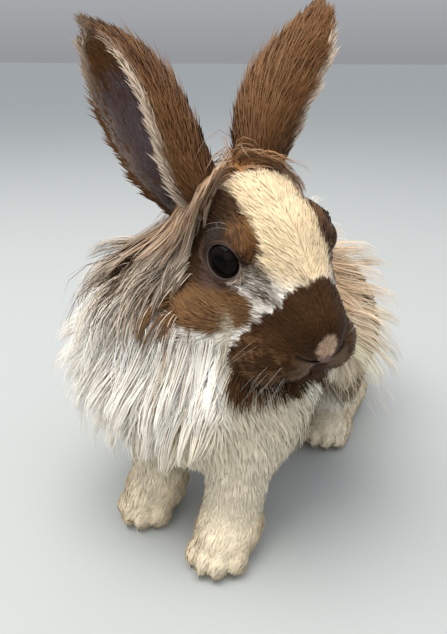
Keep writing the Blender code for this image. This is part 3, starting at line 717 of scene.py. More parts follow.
# %% Colours and noise
WHITE = (247, 241, 231)
SHADED_WHITE = (206, 194, 170)
CREAM = (216, 196, 162)
CROWN = (166, 116, 64)
BROW = (112, 76, 40)
DARK = (62, 42, 26)
CHEEK = (114, 83, 53)
MUZZLE = (60, 37, 14)
EAR_BACK = (101, 68, 39)
EAR_INSIDE = (112, 96, 98)
TICKED = (128, 108, 80)
TAN = (176, 150, 122)
PAW = (233, 219, 192)
BEIGE = (222, 206, 186)
# The far side's orange-to-cream hair, painted brighter than its own colour: painted light there.
FAR_CREAM_AND_LIGHT = (244, 226, 194)
FAR_ORANGE_AND_LIGHT = (228, 176, 116)
DARK_CROWN = (130, 88, 48)
GREY_BROWN = (118, 98, 84)
PALE_TIP = (240, 228, 208)
NOSE_PINK = (190, 160, 134)
NOSE_GREY = (134, 108, 102)
NOSTRIL_SHADE = (38, 26, 22)
LID_GREY = (92, 76, 70)
EYE_SKIN = (96, 76, 70)


def linear(colour):
    """A screen colour, 0 to 255, as the linear numbers that Blender's shaders use."""
    c = np.asarray(colour, float) / 255.0
    return np.where(c <= 0.04045, c / 12.92, ((c + 0.055) / 1.055) ** 2.4)


def ripple(points, size, seed):
    """A smooth random number from -1 to 1 at each point, with waves of about this size."""
    chance = np.random.default_rng(seed)
    waves = chance.normal(size=(7, 3)) * 4.0 / size
    return np.sin(points @ waves.T + chance.uniform(0, 6.28, 7)).mean(axis=1) * 1.8


def ripples(points, size, seed):
    """Three smooth random numbers at each point, as a vector."""
    return np.stack([ripple(points, size, seed + i) for i in range(3)], axis=1)


def blended(first, second, share):
    return first + (second - first) * share[:, None]


def laid(colour, mark, mask):
    """A colour with another one laid over it, as far as the mask says."""
    return blended(colour, linear(mark), mask)


print("white of the coat as linear numbers:", linear(WHITE).round(3))

# %% [markdown]
# ## Patches of the face
# A real patch has an outline that is torn by the fur's tips. Each one is a closed line on the
# side of the head, in mm ahead of and above the middle of the eyes, and its edge is roughened.


# %% Patches of the face
def inside(outline, x, y, soft):
    """0 to 1: how far (x, y) is inside a closed outline, with an edge this soft."""
    outline = np.asarray(outline, float)
    best = np.full(len(x), 1e9)
    odd = np.zeros(len(x), bool)
    for (ax, ay), (bx, by) in zip(outline, np.roll(outline, -1, axis=0)):
        dx, dy = bx - ax, by - ay
        share = np.clip(((x - ax) * dx + (y - ay) * dy) / (dx * dx + dy * dy), 0.0, 1.0)
        best = np.minimum(best, np.hypot(x - ax - share * dx, y - ay - share * dy))
        crosses = (ay > y) != (by > y)
        odd ^= crosses & (x < dx * (y - ay) / (by - ay + 1e-9) + ax)
    return ramp(-soft, soft, np.where(odd, best, -best))


BROW_PATCH = ((-34, 6), (-26, 14), (-17, 20), (-6, 24), (8, 22.5), (14, 16), (17.5, 8), (13, 4),
              (10, 9), (2, 11), (-7, 9), (-12, 2), (-13, -5), (-34, -5))
FRONT_PATCH = ((15, 4), (20, 8), (27, 7), (32, 2), (32, -4), (27, -8), (20, -7), (15, -4))
LOW_PATCH = ((10, -8), (23, -8), (27, -14), (24.5, -20), (19, -24.5), (8, -23), (-2, -21), (-14, -23),
             (-34, -18), (-34, -4), (-14, -4), (-9, -10), (0, -12))
MUZZLE_HEIGHTS = (-60, -50, -42, -34, -26, -12, 0, 6)
MUZZLE_EDGES = (24, 22, 21.5, 21, 23, 28.5, 32.0, 34.0)


def nostril_gap(points):
    """Distance in mm from the nearer nostril slit, seen from the front."""
    side, forward, up = head_coords(points).T
    share = np.clip((np.abs(side) - 3.2) / 7.0, 0.0, 1.0)
    gap = np.hypot(np.abs(side) - 3.2 - 7.0 * share, up + 22.6 - 3.2 * share)
    return gap + 50.0 * (forward < 42)


def nose_pad(points):
    """1 on the bare pad between the nostrils, 0 in the fur."""
    side, forward, up = head_coords(points).T
    return ramp(1.15, 0.85, np.hypot(side / 5.6, (up + 23.5) / 6.0)) * ramp(43, 45, forward)


def bib(points):
    """1 on the chest below the chin, where the fur is short and smooth, 0 elsewhere."""
    x, y, z = points.T
    bearing = np.degrees(np.arctan2(x - 1.0, 24.0 - y))
    return ramp(27, 37, bearing) * ramp(88, 78, bearing) * ramp(124, 110, z)


print(len(BROW_PATCH) + len(FRONT_PATCH) + len(LOW_PATCH), "points in the outlines of the patches")

# %% [markdown]
# ## The whole pattern
# Marks are laid one over the other in the order in which they cover each other: the saddle,
# the blaze and crown, the patches round the eye, the muzzle, and the shaded white below.


# %% Markings of the coat
def markings_and_shade(points):
    """The coat's colour at each point of the skin, with its painted shade, as linear numbers."""
    side, forward, up = head_coords(points).T
    _, y, z = points.T
    wide = np.abs(side)
    rough = ripple(points, 9.0, 3) * 1.2 + ripple(points, 3.5, 4) * 0.8
    colour = np.tile(linear(WHITE), (len(points), 1))
    saddle_edge = y + 0.5 * (z - 90) + 5 * ripple(points, 30, 5)
    colour = laid(colour, TICKED, ramp(52, 74, saddle_edge) * ramp(20, 36, z + 3 * rough))
    head_gap = coat_distance(points, HEAD_MASSES) - coat_distance(points, BODY_MASSES)
    on_skull = ramp(-60, -40, forward) * ramp(-62, -50, up) * ramp(3.0, 0.0, head_gap)
    # The cream blaze and the brown crown.
    cream = ramp(-30, -18, forward) * ramp(-2, 8, up) * on_skull
    colour = laid(colour, CREAM, cream * ramp(24, 18, wide))
    crown = ramp(-22, -27, forward + rough) * ramp(-16, 2, up + rough) * on_skull
    colour = laid(colour, CROWN, crown)
    # The patches round the eye, with torn edges and darker places.
    torn = (forward + rough, up + 0.6 * rough)
    behind_eye = ramp(3, -1, forward) * ramp(-20, -14, up) * ramp(12, 8, up) * (wide > 15)
    patch = np.maximum(inside(BROW_PATCH, *torn, 1.3), inside(LOW_PATCH, *torn, 1.6))
    streaky = 0.72 + 0.38 * ripple(points * (1.0, 1.0, 1.6), 2.6, 14)
    patch = np.maximum(patch, np.clip(streaky, 0.15, 1.0) * inside(FRONT_PATCH, *torn, 1.8))
    blaze = np.where(side < 0, 12.5, np.interp(forward, (-8, 4, 18, 30), (17.5, 15.5, 9.0, 11.0)))
    eye_gap = np.hypot(forward - 2, up)
    patch = np.maximum(patch, ramp(15.0, 12.0, eye_gap) * (wide > 12))
    patch = patch * ramp(-1.2, 1.2, wide - blaze + rough * 0.6)
    patch = np.maximum(patch, behind_eye) * ramp(54, 50, wide)
    patch_colour = laid(linear(BROW), CHEEK, ramp(-6, -14, up))
    shade = ramp(17, 9, eye_gap) * 0.55 + 0.85 * ramp(13, 18, forward) * ramp(-10, -5, up)
    # Beside and behind the eye: the fur's own dark brown, and painted shadow of the brow over the
    # hollow.
    shade = shade + 1.1 * ramp(2, -6, forward) * ramp(-22, -15, up)
    shade = shade + 0.3 * ramp(0.1, 0.8, ripple(points, 3.0, 15))
    shade = shade + 0.65 * ramp(0.0, 0.7, ripple(points, 4.5, 13)) * ramp(0, 8, up)
    patch_colour = laid(patch_colour, DARK, np.clip(shade, 0, 0.96))
    colour = blended(colour, patch_colour, patch)
    # The bare skin round the eye, and the pale line at its front corner.
    bare = ramp(15.0, 12.0, eye_gap) * (wide > 12) * ramp(34, 30, wide)
    colour = laid(colour, EYE_SKIN, bare * (0.05 + 0.65 * ramp(2, -4, up) * ramp(12, 6, forward)))
    corner_line = ramp(11.8, 10.8, eye_gap) * ramp(8, 10, forward) * (wide > 12)
    corner_line = corner_line * ramp(5, 2, up) * ramp(-11, -8, up)
    colour = laid(colour, BEIGE, 0.55 * corner_line)
    # The muzzle, its lighter sides, the pink of the nose and the chin.
    edge = np.interp(up, MUZZLE_HEIGHTS, MUZZLE_EDGES)
    muzzle = ramp(-1.4, 1.4, forward - edge + rough * 1.2) * on_skull
    colour = laid(colour, MUZZLE, muzzle)
    lighter = ramp(-16, -24, up) * ramp(8, 14, wide) * muzzle * 0.7
    colour = laid(colour, CHEEK, lighter * ramp(-0.2, 0.6, ripple(points, 4.0, 12)))
    nose_gap = np.hypot(side + 0.6, (up + 13.8) * 0.66) + 0.25 * rough
    colour = laid(colour, NOSE_PINK, ramp(4.6, 2.8, nose_gap) * ramp(45, 48, forward))
    chin_gap = np.hypot(wide - 7.5, up + 25.5) + 1.5 * rough
    colour = laid(colour, TAN, ramp(7.5, 0.5, chin_gap) * ramp(38, 46, forward) * 0.26)
    # The white that lies in the mane's shade, and the warmer white of the paws.
    body = 1 - ramp(3.0, 0.0, head_gap)
    in_shade = np.maximum(bib(points), ramp(84, 66, z)) * body * ramp(60, 40, y)
    colour = laid(colour, SHADED_WHITE, 0.85 * in_shade)
    return laid(colour, PAW, ramp(34, 18, z) * body * 0.8)


print("the back's colour:", markings_and_shade(np.array([[0.0, 140.0, 90.0]]))[0].round(2))

# %% [markdown]
# ## Colours of the ears
# An ear is brown behind and grey and nearly bare inside, with a pale front rim. Its colours go
# by the leaf's own two numbers, along and across, and not by a place in space.


# %% Colours of the ears
def ear_marking_and_shade(ear_side, along, across, outer):
    """The colour of an ear's back (outer) or of its inside, with a pale front rim and painted shade.
    """
    front = -across * ear_side
    front_rim = ramp(0.86, 0.96, front) * ramp(0.92, 0.70, along)
    back_rim = ramp(0.80, 0.97, -front)
    back = linear(EAR_BACK) * (1.12 - 0.35 * ramp(0.35, 0.0, along))[:, None]
    pale = 0.7 * front_rim + 0.5 * back_rim * ramp(0.6, 0.9, along) + 0.25 * ramp(0.9, 1.0, along)
    back = laid(back, BEIGE, np.clip(pale, 0, 0.9))
    # The inside darkens towards the root: painted shade deep in the ear's curl.
    shade = linear(EAR_INSIDE) * (1.0 - 0.35 * ramp(0.4, 0.0, along))[:, None]
    edge = 0.75 * ramp(0.70, 0.94, front) + 0.3 * ramp(0.75, 0.95, -front)
    inner = laid(shade, BEIGE, edge * (1 - 0.3 * ramp(0.3, 0.0, along)))
    inner = blended(inner, back, ramp(0.70, 0.84, along))
    return np.where(np.asarray(outer)[:, None], back, inner)


print("the ears as linear numbers, their backs:", linear(EAR_BACK).round(3),
      "and insides:", linear(EAR_INSIDE).round(3))


# %% [markdown]
# ## Which way the fur lies
# On the face fur runs back from the nose, on the back towards the tail, on the legs down, and
# on the feet out to the toes. Each part of the body has a direction, and a root takes the
# blend of those of the parts that it is near.

# %% Lie of the coat
PART_MASSES = {"head": HEAD_MASSES, "body": BODY_MASSES, "fore": FORE_MASSES, "hind": HIND_MASSES,
               "tail": TAIL_MASSES}
print("the fur has its own way to lie on:", ", ".join(PART_MASSES))


def part_weights(points):
    gaps = np.stack([coat_distance(points, masses) for masses in PART_MASSES.values()], axis=1)
    weights = np.exp(-np.clip(gaps - gaps.min(axis=1, keepdims=True), 0, 40) / 4.0)
    weights /= weights.sum(axis=1, keepdims=True)
    return dict(zip(PART_MASSES, weights.T))


def lie_of(points, normals):
    """Unit vectors along the skin, the way that short fur lies at each point."""
    weights = part_weights(points)
    side, forward, up = head_coords(points).T
    on_cheek = ramp(-24, -14, forward) * ramp(-34, -26, up) * ramp(56, 48, np.abs(side))
    for name in weights:
        own = 1.0 if name == "head" else 0.0
        weights[name] = weights[name] + (own - weights[name]) * on_cheek
    low = ramp(26, 14, points[:, 2])[:, None]
    face = -AHEAD - UP * (0.45 * ramp(-4, -22, up))[:, None]
    face = face + LEFT * (0.25 * np.sign(side))[:, None]
    body = np.array([0.0, 1.0, -0.35]) + np.zeros_like(points)
    body[:, 2] -= 0.9 * ramp(60, 20, points[:, 1])
    leg = np.array([0.0, -0.1, -1.0]) * (1 - low) + np.array([0.0, -1.0, -0.25]) * low
    haunch = np.array([0.0, 0.55, -0.7]) * (1 - low) + np.array([0.0, -1.0, -0.2]) * low
    tail = np.array([0.0, 0.5, 0.85])
    way = face * weights["head"][:, None] + body * weights["body"][:, None]
    way = way + leg * weights["fore"][:, None]
    way = way + haunch * weights["hind"][:, None] + tail * weights["tail"][:, None]
    for s in SIDES.values():
        axes, local = eye_axes(s), eye_coords(points, s)
        gap = np.hypot(local[:, 0], local[:, 1])
        away = unit(local[:, :2] @ axes[:, :2].T)
        near = ramp(19.0, 11.0, gap) * ramp(-8.0, -2.0, local[:, 2])
        towards = np.clip(-(way * away).sum(axis=1), 0.0, None)
        way = way + away * ((towards * 1.1 + 0.25) * near)[:, None] + UP * (0.15 * near)[:, None]
    way -= normals * (way * normals).sum(axis=1, keepdims=True)
    return unit(way)


# %% [markdown]
# ## Tufts and strands as mesh
# A short tuft is the smallest closed leaf there is: a base edge, a raised ridge and a tip,
# four triangles. Long hair is a strand: a three-sided tube in rings that narrows to a point.
# Both carry colours at their points, and normals that lean with the skin, so that light falls
# over the coat as a whole and not on each tiny face.


# %% Mesh builders
FUR_PIECES = []
LOWEST_HAIR = 0.4
UV_PATCH = 0.0015


def paint_points(mesh, colours):
    """Puts a linear colour on each point of a mesh, for the materials to read."""
    layer = mesh.color_attributes.new("coat", "FLOAT_COLOR", "POINT")
    rgba = np.hstack([np.clip(colours, 0, 1), np.ones((len(colours), 1))])
    layer.data.foreach_set("color", rgba.astype(np.float32).ravel())


def creases(pattern, under):
    """Pairs of one hair's points between a top face and an under face."""
    shared = np.zeros((2, pattern.max() + 1, pattern.max() + 1), bool)
    for face, below in zip(pattern, under):
        for a, b in zip(face, np.roll(face, 1)):
            shared[int(below), a, b] = shared[int(below), b, a] = True
    return shared[0] & shared[1]


def shaded_mesh(name, points, pattern, under, colours, tops, bottoms, roots_uv):
    """A mesh of many small closed hairs, with colours, leaning normals and the bake's unwrap."""
    count, each = len(roots_uv), len(points) // len(roots_uv)
    triangles = (np.arange(count)[:, None, None] * each + pattern).reshape(-1, 3)
    under_all = np.tile(under, count)
    mesh = bpy.data.meshes.new(name)
    mesh.vertices.add(len(points))
    mesh.vertices.foreach_set("co", to_frame(points).astype(np.float32).ravel())
    mesh.loops.add(triangles.size)
    mesh.loops.foreach_set("vertex_index", triangles.astype(np.int32).ravel())
    mesh.polygons.add(len(triangles))
    mesh.polygons.foreach_set("loop_start", np.arange(0, triangles.size, 3, dtype=np.int32))
    mesh.update(calc_edges=True)
    paint_points(mesh, colours)
    lean = mesh.attributes.new("custom_normal", "FLOAT_VECTOR", "CORNER")
    corners = np.where(under_all[:, None, None], unit(bottoms)[triangles], unit(tops)[triangles])
    lean.data.foreach_set("vector", corners.astype(np.float32).ravel())
    ends = np.empty(len(mesh.edges) * 2, np.int32)
    mesh.edges.foreach_get("vertices", ends)
    ends = ends.reshape(-1, 2) % each
    crease = mesh.attributes.new("sharp_edge", "BOOLEAN", "EDGE")
    crease.data.foreach_set("value", creases(pattern, under)[ends[:, 0], ends[:, 1]])
    spread = np.random.default_rng(SEED).uniform(-UV_PATCH, UV_PATCH, (len(points), 2))
    uv = np.repeat(roots_uv, each, axis=0) + spread
    layer = mesh.uv_layers.new(name=BAKE)
    layer.uv.foreach_set("vector", uv[triangles.ravel()].astype(np.float32).ravel())
    made = new_object(name, mesh)
    FUR_PIECES.append(made)
    print(f"{name}: {len(triangles)} triangles")
    return made


# %% [markdown]
# ## Tufts
# A tuft's four points are its root, the two ends of its ridge and its tip. It is a little
# darker at the root, where the light doesn't reach.

# %% Tufts
LEAF = np.array([(0, 1, 2), (1, 3, 2), (0, 3, 1), (0, 2, 3)])
LEAF_UNDER = np.array([False, False, True, True])
ROOT_SHADE = 0.94
print("a tuft has", len(LEAF), "triangles")


def tuft_piece(name, roots, normals, ways, lengths, widths, rises, near, far, roots_uv):
    """Short closed tufts, arched leaves. near and far are the colours at the root and the tip."""
    side = unit(np.cross(ways, normals))
    half = side * (widths / 2)[:, None]
    arch = roots + ways * (lengths * 0.45)[:, None] + normals * rises[:, None]
    tip = roots + ways * lengths[:, None] + normals * (rises * 0.7)[:, None]
    points = np.stack([roots - normals * 0.5, arch + half, arch - half, tip], axis=1)
    points[:, 1:, 2] = np.maximum(points[:, 1:, 2], LOWEST_HAIR)
    tops = [normals, normals + side * 0.4, normals - side * 0.4, normals + ways * 0.3]
    bottoms = [-normals, side * 0.7 - normals, -side * 0.7 - normals, ways * 0.5 - normals]
    tops, bottoms = np.stack(tops, axis=1), np.stack(bottoms, axis=1)
    middle_tint = near * 0.5 + far * 0.5
    colours = np.stack([near * ROOT_SHADE, middle_tint, middle_tint, far], axis=1)
    flat = [a.reshape(-1, 3) for a in (points, colours, tops, bottoms)]
    return shaded_mesh(name, flat[0], LEAF, LEAF_UNDER, *flat[1:], roots_uv)


# %% [markdown]
# ## Strands
# A strand is a line of points with a facing at each. Its rings narrow towards the tip, and its
# normals lean up to the light, so that a lock shines along its length as real hair does.

# %% Strands
STRAND_SHARES = (0, 0.25, 0.6, 0.85, 1.0)
STRAND_WIDTHS = (0.75, 1.0, 0.85, 0.5, 0.0)
STRAND_LEAN = 0.6
STRAND_UPWARD = np.array([0.0, 0.0, 0.45])
print("a strand's widths from root to tip:", STRAND_WIDTHS)


def strand_piece(name, lines, facings, half_widths, colours, roots_uv):
    """Long closed strands. lines and facings are (count, rings + 1, 3), colours the same."""
    count, stations = lines.shape[:2]
    along = unit(np.gradient(lines, axis=1))
    side = unit(np.cross(along, facings))
    front = np.cross(side, along)
    share = np.linspace(0, 1, stations)
    profile = np.interp(share, STRAND_SHARES, STRAND_WIDTHS)
    wide = half_widths[:, None, None] * profile[None, :, None]

    def ringed(rings, tips):
        """Three values to a ring, then one for the tip, as one long list."""
        below_tip = rings[:, :-1].reshape(count, -1, 3)
        return np.concatenate([below_tip, tips[:, -1:]], axis=1).reshape(-1, 3)

    ring = [lines + side * wide, lines + front * wide * 0.9, lines - side * wide]
    points = ringed(np.stack(ring, axis=2), lines)
    points[:, 2] = np.maximum(points[:, 2], LOWEST_HAIR)
    soft = unit(facings + STRAND_UPWARD) * STRAND_LEAN
    above = [soft + side * 0.6, soft + front * 0.5, soft - side * 0.6]
    below = [side * 0.8 - front, -front, -side * 0.8 - front]
    tops = ringed(np.stack(above, axis=2), facings)
    bottoms = ringed(np.stack(below, axis=2), -front)
    tints = ringed(np.repeat(colours[:, :, None], 3, axis=2), colours)
    pattern, under = [(0, 1, 2)], [False]
    for k in range(stations - 2):
        for i in range(3):
            a, b = 3 * k + i, 3 * k + (i + 1) % 3
            pattern += [(a, a + 3, b), (b, a + 3, b + 3)]
            under += [i == 2, i == 2]
    last = 3 * (stations - 2)
    pattern += [(last + i, last + 3, last + (i + 1) % 3) for i in range(3)]
    under += [False, False, True]
    pattern, under = np.array(pattern), np.array(under)
    return shaded_mesh(name, points, pattern, under, tints, tops, bottoms, roots_uv)


# %% [markdown]
# ## Where the roots are
# Roots are scattered over the skin's triangles at random, more to the square millimetre where
# the fur is finer. Bare places get none: the nose, the lids and the soles. Under the long
# hair of the mane there are only a few.

# %% Scatter roots
corner = skin_points[skin_faces]
face_cross = np.cross(corner[:, 1] - corner[:, 0], corner[:, 2] - corner[:, 0])
face_area = np.linalg.norm(face_cross, axis=1) / 2
face_middle = corner.mean(axis=1)
ear_gap = np.full(len(face_middle), 1e9)
for side in SIDES.values():
    start = ear_root(side) + (ear_root(side) - EAR_TIPS[side]) * -0.08
    spine = Limb(start, 9.0, EAR_TIPS[side], 13.0, 1.0)
    ear_gap = np.minimum(ear_gap, spine.distance(face_middle))
on_ear = (read_table(COAT, face_middle)[0] > 1.5) & (ear_gap < 24)
print(int(on_ear.sum()), "triangles of skin on the ears")
HAIRLINE_HEIGHTS = (-60, -45, -38, -30, -24, -19, -12, -5, 8, 20)
HAIRLINE_FRONTS = (17, 24, 23, 22, 16, 2, -10, -19, -25, -26)


def hairline(points):
    """Above 0 where the long hair of the mane grows, in mm behind its front edge."""
    side, forward, up = head_coords(points).T
    front = np.interp(up, HAIRLINE_HEIGHTS, HAIRLINE_FRONTS)
    return np.maximum(front - forward, np.abs(side) - 33.0 - 14.0 * ramp(-26, -20, up))


def density(points):
    """Short tufts to the square millimetre."""
    side, forward, up = head_coords(points).T
    face = ramp(-30, -20, forward) * ramp(-52, -44, up) * (np.abs(side) < 52)
    _, y, z = points.T
    amount = (0.95 + 1.3 * ramp(70, 35, z)) * (1 - 0.24 * ramp(50, 62, y))
    under_mane = ramp(2, 10, hairline(points)) * ramp(70, 90, z) * ramp(70, 50, y)
    amount = amount + (4.6 + 1.6 * ramp(20, 34, forward) - amount) * face
    amount = amount + (0.4 - amount) * under_mane
    for s in SIDES.values():
        local = eye_coords(points, s)
        eye_gap = np.hypot(local[:, 0], local[:, 1]) + 50 * (local[:, 2] < 0)
        amount = amount * ramp(8.7, 9.5, eye_gap)
    amount = amount * (1 - nose_pad(points)) * ramp(0.8, 1.6, nostril_gap(points))
    return amount * ramp(0.3, 1.2, z)


def scatter(weights, seed):
    """Random roots on the skin, weights to the mm2: (points, coat normals, unwrap places)."""
    chance = np.random.default_rng(seed)
    chosen = np.repeat(np.arange(len(skin_faces)), chance.poisson(face_area * weights))
    a, b = chance.random(len(chosen)), chance.random(len(chosen))
    fold = a + b > 1
    a[fold], b[fold] = 1 - a[fold], 1 - b[fold]
    share = np.stack([1 - a - b, a, b], axis=1)[:, :, None]
    found = (corner[chosen] * share).sum(axis=1)
    return found, unit(read_table(COAT, found)[1]), (skin_uv[chosen] * share).sum(axis=1)


roots, normals, roots_uv = scatter(density(face_middle) * ~on_ear, SEED + 1)
print(len(roots), "roots of short fur")

# %% [markdown]
# ## Short fur
# Length, width and lift change over the body: 2 to 4 mm on the muzzle, 7 on the forehead, 12
# on the back. Each tuft is a little lighter or darker than the next, and on the saddle some
# have dark tips, as ticked fur does. Particle hair would not survive the export, mesh does.

# %% Short fur
FUR_LIFT = 0.62
chance = np.random.default_rng(SEED + 2)
side, forward, up = head_coords(roots).T
count = len(roots)
on_face = ramp(-34, -22, forward) * ramp(-56, -46, up) * (np.abs(side) < 52)
length = 5.2 + 6.6 * ramp(28, 70, roots[:, 2]) * (1 - 0.45 * bib(roots))
length = length + (7.0 - 3.0 * ramp(14, 34, forward) - length) * on_face
for s in SIDES.values():
    eye_gap = np.linalg.norm(roots - eye_front(s), axis=1)
    length = length + (2.8 - length) * ramp(15.0, 9.0, eye_gap)
length = length - 1.9 * ramp(41, 46, forward) * on_face
length = length + 1.6 * ramp(26, 20, np.abs(forward - 32)) * ramp(-22, -30, up) * on_face
length = np.where(roots[:, 2] < 14, 3.8, length) * chance.uniform(0.75, 1.2, count)
width = (0.42 + 0.050 * length) * chance.uniform(0.8, 1.2, count) * (1 + 0.15 * (1 - on_face))
rise = (0.17 - 0.003 * length) * length * chance.uniform(0.7, 1.2, count)
rise = rise * FUR_LIFT * (1 - 0.25 * bib(roots))
wander = ripples(roots, 14.0, 71) * 0.12
ways = unit(lie_of(roots, normals) + wander + chance.normal(0, 0.10, (count, 3)))
near = markings_and_shade(roots + ways * 0.3 * length[:, None])
pale_coat = ramp(0.35, 0.6, near.mean(axis=1))
tint = chance.normal(0, 0.13, count) * (1 - 0.45 * pale_coat) + 0.10 * ripple(roots, 6.0, 21)
ticked = ramp(52, 74, roots[:, 1]) * (chance.random(count) < 0.35) * (1 - on_face)
near = near * np.exp(tint)[:, None]
far = near * (1.12 - 0.62 * ticked * (near.mean(axis=1) < 0.5))[:, None]

print("short fur of", length.min().round(1), "to", length.max().round(1), "mm")

# %% [markdown]
# ## Pieces of short fur
# Each piece holds at most 46,000 tufts, under 200,000 triangles. The bake gives each piece one
# picture, so a piece stays under 200,000 triangles. The back, where the fur is ticked, has
# pieces of its own.

# %% Pieces of short fur
PER_PIECE = 46000
BACK_FROM = 60
on_back = roots[:, 1] > BACK_FROM
for name, here in (("short_fur", np.nonzero(~on_back)[0]), ("back_fur", np.nonzero(on_back)[0])):
    here = here[np.argsort(-on_face[here], kind="stable")]
    for number, start in enumerate(range(0, len(here), PER_PIECE)):
        pick = here[start:start + PER_PIECE]
        tuft_piece(f"{name}_{number + 1}", roots[pick], normals[pick], ways[pick], length[pick],
                   width[pick], rise[pick], near[pick], far[pick], roots_uv[pick])
print(len(FUR_PIECES), "pieces of short fur")

# %% [markdown]
# ## Fur of the ears
# The back of each ear is brown with short fur along its length and long tufts at its edges
# and tip. The inside is nearly bare, with pale hair reaching in from the rims.


# %% Ear fur
def nearest_uv(points):
    """The unwrap's place of the skin nearest to each point."""
    found = [skin_tree.find_nearest(Vector(p))[2] for p in points.tolist()]
    return skin_uv[np.array(found)].mean(axis=1)


def ear_frame(ear_side, along, across, outer):
    """(points, normals out of the leaf, ways to the tip) on one ear."""
    sign = np.where(outer, -1.0, 1.0)
    thin = ear_half_wall(along, across) * sign
    place = ear_surface(ear_side, along, across, thin)
    ahead = unit(ear_surface(ear_side, along + 0.01, across, thin) - place)
    out = unit(ear_surface(ear_side, along, across, thin + sign) - place)
    return place, out, ahead


def ear_edge_way(ear_side, along, across):
    """Unit vectors across one ear, towards the rim where across is 1."""
    level = np.zeros(len(along))
    here = ear_surface(ear_side, along, across, level)
    return unit(ear_surface(ear_side, along, across + 0.02, level) - here)


def ear_tufts(ear_side, count, outer, seed):
    chance = np.random.default_rng(seed)
    if outer:
        along = chance.uniform(0.0, EAR_END, count)
    else:
        along = 1 - np.sqrt(chance.random(count)) * 0.98
    across = chance.uniform(-1, 1, count)
    if not outer:
        across = np.sign(across) * np.abs(across) ** 0.4
    across *= EAR_RIM
    back = np.full(count, outer)
    place, out, ahead = ear_frame(ear_side, along, across, back)
    splay = ear_edge_way(ear_side, along, across) * (0.35 * across ** 3)[:, None]
    ways = unit(ahead + splay + chance.normal(0, 0.13, (count, 3)))
    length = (7.0 if outer else 4.0) * chance.uniform(0.7, 1.4, count)
    width = (0.62 if outer else 0.45) * chance.uniform(0.8, 1.2, count)
    rise = (0.085 if outer else 0.12) * length * chance.uniform(0.6, 1.3, count)
    near = ear_marking_and_shade(ear_side, along, across, back)
    tint = chance.normal(0, 0.09, count) + 0.14 * ripple(place, 9.0, 33)
    near = near * np.exp(tint)[:, None]
    return place, out, ways, length, width, rise, near, near * 1.15, nearest_uv(place)


EAR_BACK_TUFTS, EAR_INSIDE_TUFTS, EAR_FRINGE_STRANDS = 13500, 3500, 1900
for word, ear_side in SIDES.items():
    backs = ear_tufts(ear_side, EAR_BACK_TUFTS, True, SEED + 31)
    insides = ear_tufts(ear_side, EAR_INSIDE_TUFTS, False, SEED + 32)
    tuft_piece("ear_fur_" + word, *(np.concatenate(pair) for pair in zip(backs, insides)))
print(EAR_BACK_TUFTS + EAR_INSIDE_TUFTS, "tufts on each ear")

# %% [markdown]
# ## Fringes of the ears
# Longer soft hairs stand along the rims and up the spine of each ear. They are strands, as in
# the mane, but straight enough to be set out from the ear's own directions without walking.


# %% Fringes of the ears
def ear_fringe(ear_side, count, seed):
    """Long soft hairs along the rims, up the spine and at the tip of one ear."""
    chance = np.random.default_rng(seed)
    along = chance.uniform(0.02, EAR_RIM, count)
    on_spine = chance.random(count) < 0.6
    by_spine = chance.normal(0, 0.4, count)
    by_rim = np.sign(chance.random(count) - 0.5) * chance.uniform(0.8, EAR_RIM, count)
    across = np.clip(np.where(on_spine, by_spine, by_rim), -EAR_RIM, EAR_RIM)
    back = np.full(count, True)
    place, out, ahead = ear_frame(ear_side, along, across, back)
    length = chance.uniform(6, 14, count) * (0.7 + 0.5 * np.sin(np.pi * along))
    length = length * np.where(np.abs(across) > 0.75, 0.55, 1.0)
    splay = ear_edge_way(ear_side, along, across) * (0.4 * across ** 3)[:, None]
    heading = unit(ahead + splay + out * 0.20 + chance.normal(0, 0.09, (count, 3)))
    share = np.linspace(0, 1, 5)
    grown = (length[:, None] * share)[..., None]
    lines = place[:, None] - out[:, None] * 0.5 + heading[:, None] * grown
    lines += ahead[:, None] * (length[:, None] * 0.25 * share ** 2)[..., None]
    facings = np.repeat(out[:, None], 5, axis=1)
    tint = np.exp(chance.normal(0, 0.12, count))[:, None]
    near = ear_marking_and_shade(ear_side, along, across, back) * tint
    far = near * 1.2 + linear(CREAM) * 0.08
    colours = near[:, None] * (1 - share)[None, :, None] + far[:, None] * share[None, :, None]
    return lines, facings, chance.uniform(0.22, 0.4, count), colours, nearest_uv(place)


fringes = [ear_fringe(ear_side, EAR_FRINGE_STRANDS, SEED + 35) for ear_side in SIDES.values()]
strand_piece("ear_fringe", *(np.concatenate(pair) for pair in zip(*fringes)))
print(EAR_FRINGE_STRANDS, "strands in the fringe of each ear")

# %% [markdown]
# ## The mane
# The mane grows from behind a hairline that runs from the crown over the temples and cheeks
# to the throat. Each strand is walked step by step: it starts off the skin, falls under its
# own weight, and is pushed out wherever it would enter the body. Strands drift towards a
# neighbour's path near their tips, so that they gather into locks.


# %% Walk strands over the body
WALK_STEPS = 11
print("a strand is walked in", WALK_STEPS, "steps")


def walk(points, heading, lengths, heights, flares, falls, sway, steps=WALK_STEPS):
    """(lines, facings) of strands, each pushed out to its own height above the coat."""
    normal = unit(read_table(GUARD, points)[1])
    lines, facings = [points - normal * 0.8], [normal]
    for k in range(steps):
        share = (k + 1) / steps
        heading = unit(heading + DOWN * (falls / steps)[:, None] + sway / steps)
        points = points + heading * (lengths / steps)[:, None]
        value, way = read_table(GUARD, points)
        normal = unit(way)
        wanted = heights * min(1.0, share * 2.0) + flares * share * share * (3.0 - 2.0 * share)
        short = wanted - value
        lift = np.where(short > 0, short, np.clip(0.4 * short, -2.2, 0.0))
        points = points + normal * lift[:, None]
        inward = np.clip(-(heading * normal).sum(axis=1), 0.0, None)
        heading = heading + normal * (inward * 0.9 * (lift > 0))[:, None]
        lines.append(points)
        facings.append(normal)
    return np.stack(lines, axis=1), np.stack(facings, axis=1)


